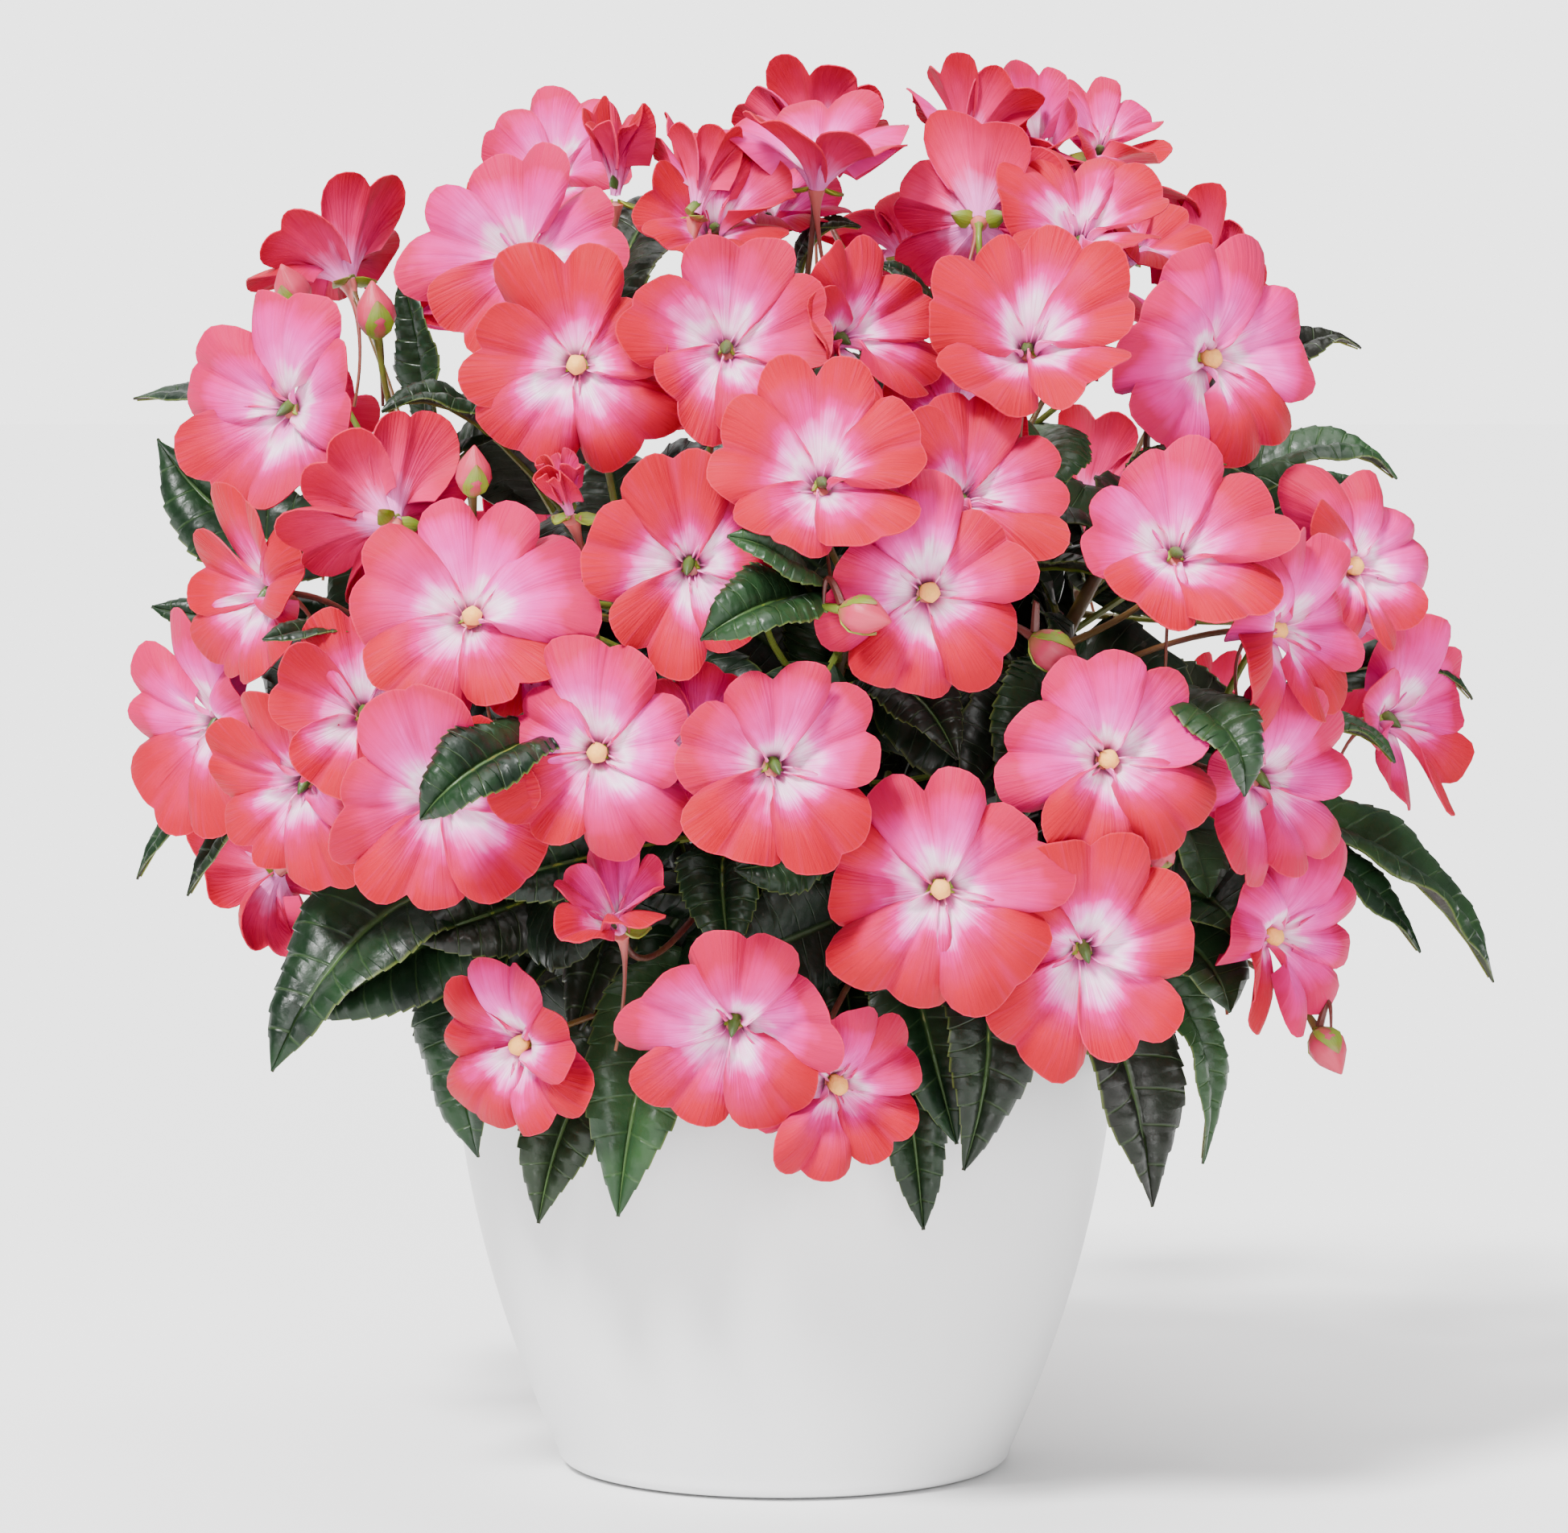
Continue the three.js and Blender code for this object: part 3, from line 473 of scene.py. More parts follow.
def list_leaves(shoots, blooms, stalks):
    leaves = []

    def keep(leaf):
        leaf.samples = leaf_samples(leaf)
        leaves.append(leaf)

    for ta, tu, td, ba, bu, bd, width in SEEN_LEAVES:
        tip, bend = seen(ta, tu, td), seen(ba, bu, bd)
        shoot = nearest(shoots, bend)
        keep(new_leaf(shoot, Curve(next_node(shoot), bend, tip), width))
    draw = seeded(WHORL_SEED)
    for i, shoot in enumerate(shoots):
        axis, side, third = shoot_axes(shoot)
        for k in range(WHORL):
            base = next_node(shoot)
            for attempt in range(WHORL_TRIES):
                turn = (k + 0.5 * (i % 2)) * 2 * pi / WHORL + 0.9 * (draw() - 0.5)
                spread = swing(side, third, turn)
                length = by_chance(draw, WHORL_LENGTH)
                lift = 0.5 - 0.09 * attempt
                bend = base + axis * lift * length + spread * 0.36 * length
                rise = (lift + 0.1 * draw()) * length
                tip = base + axis * rise + spread * 0.9 * length + LEAF_DROOP
                leaf = new_leaf(shoot, Curve(base, bend, tip), by_chance(draw, WHORL_WIDTH))
                if has_room(leaf, leaves, blooms, stalks):
                    keep(leaf)
                    break
    return leaves


# Gathering and making pieces

# Places of the skins among the materials of the blooms and of the green pieces
PETAL_SKIN, CAP_SKIN, OVARY_SKIN, SPUR_SKIN, SEPAL_SKIN = range(5)
LEAF_SKIN, STEM_SKIN, BUD_SKIN, BUD_SEPAL_SKIN = range(4)
TURN = 6.28  # about a whole turn, for waves that start by chance


def new_object(name, data):
    obj = bpy.data.objects.new(name, data)
    bpy.context.scene.collection.objects.link(obj)
    return obj


class Piece:
    """The closed bodies of one piece: their corners, faces, paint and materials."""

    def __init__(self):
        self.points, self.loops, self.sizes, self.kinds = [], [], [], []
        self.paint, self.mark = [], []
        self.count = 0

    def add(self, points, faces, paint, mark, kind):
        """Bodies: their paint and mark are four numbers for each point, or for all of them."""
        points = points.reshape(-1, 3)
        count = len(points)
        self.points.append(points)
        for rows, values in ((self.paint, paint), (self.mark, mark)):
            rows.append(np.broadcast_to(np.asarray(values, float).reshape(-1, 4), (count, 4)))
        for group in faces:
            group = np.asarray(group, int)
            self.loops.append((group + self.count).ravel())
            self.sizes.append(np.full(len(group), group.shape[1]))
            self.kinds.append(np.full(len(group), kind))
        self.count += count

    def make(self, name, materials, nodes, crease=52):
        loops = np.concatenate(self.loops)
        sizes = np.concatenate(self.sizes)
        mesh = bpy.data.meshes.new(name)
        mesh.vertices.add(self.count)
        mesh.vertices.foreach_set("co", (np.concatenate(self.points) * MM).ravel())
        mesh.loops.add(len(loops))
        mesh.loops.foreach_set("vertex_index", loops)
        faces = mesh.polygons
        faces.add(len(sizes))
        faces.foreach_set("loop_start", np.concatenate([[0], np.cumsum(sizes)[:-1]]))
        faces.foreach_set("loop_total", sizes)
        faces.foreach_set("material_index", np.concatenate(self.kinds))
        faces.foreach_set("use_smooth", np.ones(len(sizes), bool))
        for label, rows in (("paint", self.paint), ("mark", self.mark)):
            layer = mesh.attributes.new(label, "FLOAT_COLOR", "POINT")
            layer.data.foreach_set("color", np.concatenate(rows).ravel())
        for material in materials:
            mesh.materials.append(material)
        mesh.update(calc_edges=True)
        mesh.validate()
        if crease:
            mesh.set_sharp_from_angle(angle=radians(crease))
        obj = new_object(name, mesh)
        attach(obj, "root")
        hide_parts(*nodes)


def grid_faces(rows, cols):
    ids = np.arange(rows * cols).reshape(rows, cols)
    corners = [ids[:-1, :-1], ids[1:, :-1], ids[1:, 1:], ids[:-1, 1:]]
    return np.stack([c.ravel() for c in corners], 1)


def layers(grid, *values):
    """Four numbers at each point of a grid."""
    return np.stack([np.broadcast_to(value, grid.shape[:2]) for value in values], -1)


def ring_faces(rings, sides):
    """The numbers of the points in rings, of their neighbours, and the faces between the rings."""
    ids = np.arange(rings * sides).reshape(rings, sides)
    after = np.roll(ids, -1, axis=1)
    return ids, after, np.stack([ids[:-1], after[:-1], after[1:], ids[1:]], -1).reshape(-1, 4)


def add_blade(piece, grid, thick, paint, mark, kind, towards):
    """A thin closed sheet: a grid of points, its underside, and the rim between them."""
    rows, cols = grid.shape[:2]
    normal = unit(np.cross(np.gradient(grid, axis=0), np.gradient(grid, axis=1)))
    if (normal * towards).sum() < 0:
        grid, paint, mark = grid[:, ::-1], paint[:, ::-1], mark[:, ::-1]
        normal = -normal[:, ::-1]
    top = grid_faces(rows, cols)
    count = rows * cols
    ids = np.arange(count).reshape(rows, cols)
    loop = np.concatenate([ids[:-1, 0], ids[-1, :-1], ids[:0:-1, -1], ids[0, :0:-1]])
    after = np.roll(loop, -1)
    rim = np.stack([after, loop, loop + count, after + count], 1)
    back = mark.copy()
    back[..., 3] = 0
    piece.add(
        np.concatenate([grid, grid - normal * thick]),
        [top, top[:, ::-1] + count, rim],
        np.concatenate([paint, paint]),
        np.concatenate([mark, back]),
        kind,
    )


def add_tube(piece, path, radii, sides, chance, tint, kind, lobes=0.0):
    """A closed round bar along a path, with a radius at each of its points."""
    along = unit(np.gradient(path, axis=0))
    side = across_to(along[0], vec(0.31, 0.95, 0.05))
    turns = np.arange(sides) * 2 * pi / sides
    wave = 1 + lobes * np.cos(5 * turns)
    rings = []
    for i in range(len(path)):
        side = across_to(along[i], side)
        third = np.cross(along[i], side)
        spokes = np.cos(turns)[:, None] * side + np.sin(turns)[:, None] * third
        rings.append(path[i] + spokes * (radii[i] * wave)[:, None])
    rings = np.array(rings)
    ids, _, quads = ring_faces(len(path), sides)
    caps = np.stack([ids[0, ::-1], ids[-1]])
    down = np.linspace(0, 1, len(path))[:, None]
    paint = layers(rings, down, np.arange(sides) / sides, chance, 0.0)
    piece.add(rings, [quads, caps], paint, [tint, 0, 0, 1], kind)


# Petals and what stands in and behind them

PETAL_SPAN = 46  # degrees from a petal's middle to its side
PETAL_THICK = 0.45
SEPAL_THICK = 0.5
# Petals drawn shorter so that they stay behind a neighbour: bloom, petal, share of its length.
TUCKED = {(6, 1): 0.8, (30, 3): 0.8, (47, 4): 0.8}
HALF_COLUMNS = np.array([0.04, 0.1, 0.18, 0.28, 0.39, 0.5, 0.61, 0.72, 0.82, 0.9, 0.96, 1.0])
PETAL_COLUMNS = np.concatenate([-HALF_COLUMNS[::-1], [0.0], HALF_COLUMNS])
PETAL_ROWS = np.array([0, 0.07, 0.15, 0.24, 0.33, 0.43, 0.53, 0.63, 0.73, 0.82, 0.89, 0.945, 0.98, 1])


def petal_margin(s, notch):
    """How far the petal reaches, as a share of its length, from one side (-1) to the other (1)."""
    beyond = np.maximum(0, (abs(s) - 0.34) / 0.69)
    round_off = np.sqrt(1 - beyond**2.7)
    return (1.045 * round_off) - notch * np.exp(-((abs(s) / 0.13) ** 1.3))


def bloom_axes(bloom):
    """The ways of the top petal and of the right side, seen from the front of the bloom."""
    face = bloom.face
    guide = vec(0, 1, 0) if abs(face[2]) > 0.95 else vec(0, 0, 1)
    top = across_to(face, guide)
    top = swing(top, np.cross(face, top), -radians(bloom.roll))
    return top, np.cross(top, face)


def add_bloom(piece, index, bloom):
    draw = seeded(BLOOM_SEED + index)
    extra = seeded(PETAL_SEED + index)
    throat, face, wide = bloom.throat, bloom.face, bloom.open
    top, right = bloom_axes(bloom)
    capped = index in CAPPED_BLOOMS
    lilac = 0.05 + 0.8 * extra() + (0.15 if capped else 0)
    s, u = PETAL_COLUMNS, PETAL_ROWS[:, None]
    for p in range(PETALS):
        middle = 72 * p + 8 * (draw() - 0.5)
        tilt = radians(wide + 9 * (draw() - 0.5))
        length = bloom.petal * PETAL_LENGTHS[p] * TUCKED.get((index, p), 1)
        turns = np.radians(middle + PETAL_SPAN * s)
        out = np.cos(turns)[:, None] * top + np.sin(turns)[:, None] * right
        normal = face * sin(tilt) - out * cos(tilt)
        notch = 0.04 + 0.15 * extra() + (0.05 if p == 0 else 0)
        lopside = (0.885 + 0.15 * extra()) * (1 + 0.32 * (extra() - 0.5) * s)
        uneven = 1 + 0.032 * np.sin(4 * s + 6 * extra()) + 0.007 * np.sin(13 * s + 6 * extra())
        reach = length * petal_margin(s, notch) * lopside * uneven
        end = throat + out * (reach * sin(tilt))[:, None]
        end = end + face * (reach * cos(tilt))[:, None]
        under, over = -1.2 - 2.2 * extra(), 1.6 + 3.0 * extra()
        end = end + normal * np.interp(s, [-1, 1], [under, over])[:, None]
        foot = throat - face * THROAT_DEPTH + out * foot_radius(wide)
        grid = foot + (end - foot) * u[..., None]
        swell = (0.01 + 0.16 * extra()) * length * np.sin(np.pi * u**0.75)
        curl_size = (0.17 if capped else 0.09) * length * (0.1 + 1.7 * extra())
        curl = -curl_size * np.maximum(0, u - 0.55) ** 2 / 0.2 * (1 + 0.5 * s**2)
        crease = -1.7 * np.exp(-((s / 0.13) ** 2)) * np.sin(np.pi * u**1.4)
        lobes = 1.7 * np.cos(np.pi * (abs(s) - 0.5)) * u**2
        phase = TURN * extra()
        ruffle = (0.8 + 2.8 * extra()) * np.sin(3.6 * s + phase) * u**3
        ruffle = ruffle + 0.5 * np.sin(11 * s + 2 * phase) * u**5
        grid = grid + normal * (swell + curl + crease + lobes + ruffle)[..., None]
        paint = layers(grid, u * (reach / length), (s + 1) / 2, extra(), u)
        lower = p in (2, 3)
        tint = min(1, lilac * (0.6 if lower else 1.25) * (0.6 + 0.8 * extra()))
        drift = 0.5 + 0.5 * ((extra() - 0.5) * s + 0.7 * (extra() - 0.5))
        mark = layers(grid, tint, float(lower), drift, 1.0)
        add_blade(piece, grid, PETAL_THICK, paint, mark, PETAL_SKIN, face)
    add_heart(piece, bloom, top, right, capped, extra)


# Two forms of the column in the throat: how far along it, and its radius there.
CAP_SHAPE = [[-0.8, 1.4], [0.6, 2.1], [2.2, 2.7], [4.0, 2.75], [5.4, 2.2], [6.3, 1.3], [6.7, 0.3]]
OVARY_SHAPE = [[-0.8, 1.3], [0.8, 1.55], [2.6, 1.65], [4.4, 1.4], [6.2, 0.8], [7.4, 0.15]]


def add_heart(piece, bloom, top, right, capped, draw):
    """The column in the throat, the spur behind it, and the two small green sepals."""
    throat, face = bloom.throat, bloom.face
    shape = np.array(CAP_SHAPE if capped else OVARY_SHAPE)
    lean = top * (0.3 if capped else 0.75) + right * 0.5 * (draw() - 0.5)
    path = throat - face * (THROAT_DEPTH - 0.6) + shape[:, :1] * unit(face - lean)
    path = path + top * (1.0 if capped else 2.0)
    kind = CAP_SKIN if capped else OVARY_SKIN
    add_tube(piece, path, shape[:, 1], 15, draw(), 0, kind, 0.07)
    # The spur leaves the back of the bloom and hangs in a curve.
    back = heel_depth(bloom.open)
    start = throat - face * (back - 2.5)
    sway = right * (draw() - 0.5)
    steps = [start, start - face * 9, start - face * 17 + sway * 8 + vec(0, 0, -9)]
    steps.append(steps[2] + face * 4 + sway * 10 + vec(0, 0, -17))
    t = np.linspace(0, 1, 13)[:, None]
    a, b, c, d = steps
    spur = (1 - t) ** 3 * a + 3 * t * (1 - t) ** 2 * b + 3 * t * t * (1 - t) * c + t**3 * d
    radii = 0.5 + 2.4 * (1 - t[:, 0]) ** 5
    add_tube(piece, spur, radii, 7, draw(), 0, SPUR_SKIN)
    for sign in (-1, 1):
        tip = start + (right * sign * 0.9 - face * 0.25 + top * 0.35) * 9
        middle = (start + tip) / 2 - face * 1.6
        small_blade(piece, start + right * sign, middle, tip, 6.0, -face, SEPAL_SKIN)


def small_blade(piece, start, bend, tip, width, towards, kind):
    """A small pointed sepal."""
    line = Curve(start, bend, tip)
    x = np.array([0.0, 0.2, 0.45, 0.7, 0.88, 0.99])
    along = line.tangent(x)
    side = unit(np.cross(along, towards))
    half = width / 2 * np.array([0.35, 0.85, 1.0, 0.72, 0.38, 0.05])
    c = np.array([-1.0, -0.5, 0.0, 0.5, 1.0])
    grid = line.at(x)[:, None] + side[:, None] * (half[:, None] * c)[..., None]
    grid = grid - towards * (0.9 * c**2)[:, None]
    paint = layers(grid, x[:, None], (c + 1) / 2, 0.0, 0.0)
    add_blade(piece, grid, SEPAL_THICK, paint, layers(grid, 1.0, 1.0, 1.0, 1.0), kind, towards)


# Leaves, stems and buds

LEAF_THICK = 0.55
LEAF_TEETH = 17
LEAF_WIDEN = 1.12
VEINS = 9
TOOTH_STATIONS = [0.0, 0.6, 0.97]
LEAF_COLUMNS = np.array([-1, -0.93, -0.68, -0.42, -0.17, -0.04, 0.04, 0.17, 0.42, 0.68, 0.93, 1])
SHADED_TEETH = 8  # the leaves inside are made with fewer faces
SHADED_COLUMNS = np.array([-1, -0.9, -0.5, -0.08, 0.08, 0.5, 0.9, 1])


def add_leaf(piece, leaf, seed):
    draw = seeded(seed)
    dim = leaf.dim
    teeth, c = (SHADED_TEETH, SHADED_COLUMNS) if dim else (LEAF_TEETH, LEAF_COLUMNS)
    steps = [0.004]
    cut = [0.0]
    for k in range(teeth):
        for share in TOOTH_STATIONS:
            steps.append(0.03 + 0.955 * (k + share) / teeth)
            cut.append(share)
    x = np.array(steps + [0.993, 0.999])
    tooth = np.array(cut + [0.5, 0.5])
    middle, side, normal = leaf_frame(leaf, x)
    plain = leaf_profile(x) * leaf.width / 2 * LEAF_WIDEN
    size = np.clip(plain / 12, 0.2, 1)
    half = np.maximum(0.25, plain * 0.955 + size * (1.05 * tooth - 0.25))
    x, size, out = x[:, None], size[:, None], abs(c)
    spread = half[:, None] * c
    flat = abs(spread)
    fold = LEAF_FOLD * (0.85 + 0.3 * draw())
    wave = 1.5 * np.sin(17 * x + TURN * draw() + 1.4 * np.sign(c)) * out**3
    quilt = abs(np.sin(np.pi * VEINS * (x - 0.2 * out * (1 - x)))) ** 0.6 * (out * (1 - out) * 4) ** 0.5
    groove = -0.8 * np.exp(-((c / 0.1) ** 2))
    bow = 2.2 * np.sin(np.pi * out) * size
    droop = -0.1 * flat * out**2
    lift = flat * sin(fold) + size * (wave + 0.8 * quilt + groove) + bow + droop
    grid = middle[:, None] + side[:, None] * (spread * cos(fold))[..., None]
    grid = grid + normal[:, None] * (lift - 0.2)[..., None]
    paint = layers(grid, x, (c + 1) / 2, draw(), 0.0)
    mark = layers(grid, dim, draw(), draw(), 1.0)
    add_blade(piece, grid, LEAF_THICK, paint, mark, LEAF_SKIN, normal.mean(axis=0))
    # The leaf's own stalk, which goes on as the midrib under the blade.
    start = leaf.start
    t = np.concatenate([np.linspace(0, start, 5)[:-1], np.linspace(start, 0.985, 8)])
    x_of = (t - start) / (1 - start)
    rib, _, up = leaf_frame(leaf, np.maximum(x_of, -start / (1 - start)))
    under = np.clip(x_of, 0, 1) > 0
    path = rib - up * (0.75 * under + 0.35 * ~under)[:, None]
    radii = np.interp(x_of, [-1, 0, 1], [1.25, 1.1, 0.25])
    add_tube(piece, path, radii, 6, draw(), 0.35 * draw(), STEM_SKIN)


def add_bud(piece, row, draw):
    across, up, depth, yaw, pitch, length = row
    base, way = seen(across, up, depth), facing(yaw, pitch)
    t = np.linspace(0, 1, 12)
    body = np.interp(t, [0, 0.12, 0.35, 0.6, 0.85, 1], [0.09, 0.24, 0.345, 0.31, 0.14, 0.02])
    path = base + way * (t * length)[:, None]
    add_tube(piece, path, body * length, 15, draw(), 1, BUD_SKIN, 0.035)
    side = across_to(way, vec(0, 0, 1) if abs(way[2]) < 0.9 else vec(0, 1, 0))
    third = np.cross(way, side)
    for turn in (0.3, 3.4):
        out = swing(side, third, turn)
        start = base + out * 0.1 * length
        bend = base + way * 0.32 * length + out * 0.46 * length
        tip = base + way * 0.72 * length + out * 0.31 * length
        small_blade(piece, start, bend, tip, 0.5 * length, out, BUD_SEPAL_SKIN)
    # The bud's spur, already as thin and curved as an open bloom's.
    start = base + side * 0.1 * length
    low = start - way * 0.5 * length + side * 0.8 * length
    spur = Curve(start, low, low + vec(0, 0, -0.9 * length)).at(np.linspace(0, 1, 9))
    add_tube(piece, spur, np.linspace(1.3, 0.45, 9), 6, draw(), 1, STEM_SKIN)


def knots(t, places, size):
    """How much thicker than its plain form a stem is along its way, with knots at some places."""
    return 1 + size * np.exp(-(((t[:, None] - places) / 0.03) ** 2)).sum(1)


def add_stem(piece, stem, shoots, draw):
    trunk = Curve(
        stem_at(stem, 0.9, SOIL_TOP - STEM_DEPTH),
        stem_at(stem, 0.95, SOIL_TOP + 8),
        stem_at(stem, 1.5, FORK_HEIGHT),
    )
    t = np.linspace(0, 1, 22)
    radii = np.interp(t, [0, 0.4, 1], [3.4, STEM_RADIUS, 2.9]) * knots(t, [0.42, 0.66, 0.9], 0.16)
    add_tube(piece, trunk.at(t), radii, 12, draw(), 0.5, STEM_SKIN)
    t = np.linspace(0, 1, 18)
    radii = np.interp(t, [0, 0.5, 1], [2.5, SHOOT_RADIUS, 1.8]) * knots(t, [0.35, 0.6, 0.8, 0.95], 0.2)
    for shoot in shoots:
        if shoot.stem == stem:
            add_tube(piece, shoot.line.at(t), radii, 9, draw(), 0.7, STEM_SKIN)


def add_stalk(piece, stalk, draw):
    t = np.linspace(0, 1, 14)
    radii = np.interp(t, [0, 0.1, 0.55, 0.93, 1], [1.5, 1.1, 0.9, PEDICEL_RADIUS, 1.5])
    tint = draw()
    add_tube(piece, stalk.line.at(t), radii, 7, draw(), tint, STEM_SKIN)
    if stalk.bud:
        add_bud(piece, stalk.bud, draw)


# Leaves inside the plant, and small ones that hang over the rim of the pot

INNER_LEAVES = 4
INNER_SEED = 77
INNER_LENGTH = (46, 20)
INNER_WIDTH = (30, 9)
INNER_DIM = 0.55
CORE_LEAVES = 60
CORE_HEIGHTS = (0.45, 1.2)
CORE_WIDTH = (34, 8)
CORE_DIM = 0.9
SPOT_WIDTH = 44
SPOT_DIM = 0.3
RIM_LEAVES = 26
RIM_WIDTH = (25, 9)
# A rim leaf's start, bend and tip: how far out and how high each is.
RIM_LEAF = [((50, 20), (158, 22)), ((84, 8), (186, 16)), ((117, 9), (128, 14))]
# Across, up and depth of the middles of shaded leaves behind the front blooms.
SHADED_SPOTS = [
    [124, 170, -84], [127, 188, -84], [116, 204, -88], [104, 246, -84],
    [116, 230, -76], [-146, 238, -66], [-138, 258, -66],
]


def inner_leaves(shoots):
    draw = seeded(INNER_SEED)
    leaves = []

    def add(shoot, start, bend, tip, width, dim):
        leaves.append(new_leaf(shoot, Curve(start, bend, tip), width, dim))

    for shoot in shoots:
        axis, side, third = shoot_axes(shoot)
        for k in range(INNER_LEAVES):
            base = shoot.line.at(0.45 + 0.5 * draw())
            turn = (k + 0.7 * draw()) * 2 * pi / INNER_LEAVES
            spread = swing(side, third, turn)
            length = by_chance(draw, INNER_LENGTH)
            bend = base + axis * 0.2 * length + spread * 0.45 * length
            tip = base + axis * 0.25 * length * draw() + spread * 0.95 * length + LEAF_DROOP
            add(shoot, base, bend, tip, by_chance(draw, INNER_WIDTH), INNER_DIM)
    # Shaded leaves close the view through the middle of the plant.
    for k in range(CORE_LEAVES):
        height = spaced(k, CORE_LEAVES, CORE_HEIGHTS)
        way = round_axis(sqrt(1 - height**2), k * GOLDEN_ANGLE, height)
        base = vec(0, 0, DOME_CENTRE) + way * vec(1, 1, 0.8) * (54 + 14 * draw())
        round_ = unit(np.cross(way, vec(draw() - 0.5, draw() - 0.5, 0.6)))
        tip = base + way * 16 * (0.4 + draw()) + round_ * (44 + 12 * draw())
        bend = (base + tip) / 2 + way * 16
        add(nearest(shoots, base), base, bend, tip, by_chance(draw, CORE_WIDTH), CORE_DIM)
    for across, up, depth in SHADED_SPOTS:
        spot = seen(across, up, depth)
        hang = unit(outward(spot) * 0.5 - vec(0, 0, 1))
        shoot = nearest(shoots, spot)
        add(shoot, shoot.line.at(0.8), spot, spot + hang * 34, SPOT_WIDTH, SPOT_DIM)
    for k in range(RIM_LEAVES):
        turn = (k + 0.5 * draw()) * 2 * pi / RIM_LEAVES
        out = round_axis(1, turn, 0)
        line = []
        for reach, height in RIM_LEAF:
            line.append(out * by_chance(draw, reach) + vec(0, 0, by_chance(draw, height)))
        add(nearest(shoots, line[0]), *line, by_chance(draw, RIM_WIDTH), 0.0)
    return leaves


# Pot and mix


def pot_radius(z):
    down = 1 - z / POT_HEIGHT
    return RIM_RADIUS - (RIM_RADIUS - HEEL_RADIUS) * down * down


POT_SEGMENTS = 160
RIM_ROUND = 1.6


def pot_profile():
    """From the axis out under the foot, up the outside, over the rim and down the inside."""
    rows = [[0.0, 0.0], [FOOT_RADIUS - 6, 0.0], [FOOT_RADIUS - 4.5, 0.6], [FOOT_RADIUS - 3, 0.0]]
    heel = pot_radius(HEEL_HEIGHT)
    for turn in np.linspace(-90, 0, 7):
        a = radians(turn)
        rows.append([FOOT_RADIUS + (heel - FOOT_RADIUS) * cos(a), HEEL_HEIGHT * (1 + sin(a))])
    rows += [[pot_radius(z), z] for z in np.linspace(7, POT_HEIGHT - RIM_ROUND, 34)]
    middle = RIM_RADIUS - POT_WALL / 2
    for turn in np.linspace(15, 165, 9):
        a = radians(turn)
        up = POT_HEIGHT - RIM_ROUND + RIM_ROUND * sin(a)
        rows.append([middle + POT_WALL / 2 * cos(a), up])
    inner = np.linspace(POT_HEIGHT - RIM_ROUND, 10, 14)
    rows += [[pot_radius(z) - POT_WALL, z] for z in inner]
    rows += [[FOOT_RADIUS - 4, POT_FLOOR + 0.5], [0.0, POT_FLOOR]]
    return np.array(rows)


def add_turned(piece, profile, segments, shift=None):
    """A closed body turned about the pot's axis, its profile starting and ending there."""
    turns = np.arange(segments) * 2 * pi / segments
    inner = profile[1:-1]
    count = len(inner)
    rings = np.zeros((count, segments, 3))
    rings[..., 0] = inner[:, :1] * np.cos(turns)
    rings[..., 1] = inner[:, :1] * np.sin(turns)
    rings[..., 2] = inner[:, 1:]
    ids, after, quads = ring_faces(count, segments)
    low, high = count * segments, count * segments + 1
    first = np.stack([np.full(segments, low), after[0], ids[0]], 1)
    last = np.stack([ids[-1], after[-1], np.full(segments, high)], 1)
    ends = np.array([[0, 0, profile[0][1]], [0, 0, profile[-1][1]]])
    points = np.concatenate([rings.reshape(-1, 3), ends])
    if shift:
        shift(points)
    piece.add(points, [quads, first, last], [0, 0, 0, 1], [0, 0, 0, 1], 0)


def rough(points, seed, size):
    """Smooth unevenness from a few waves in different ways."""
    draw = seeded(seed)
    total = np.zeros(len(points))
    for _ in range(9):
        way = vec(draw() - 0.5, draw() - 0.5, 0) * 2
        total += np.sin(points @ way * (1.6 / size) + TURN * draw()) * (0.4 + draw())
    return total / 9


# Materials


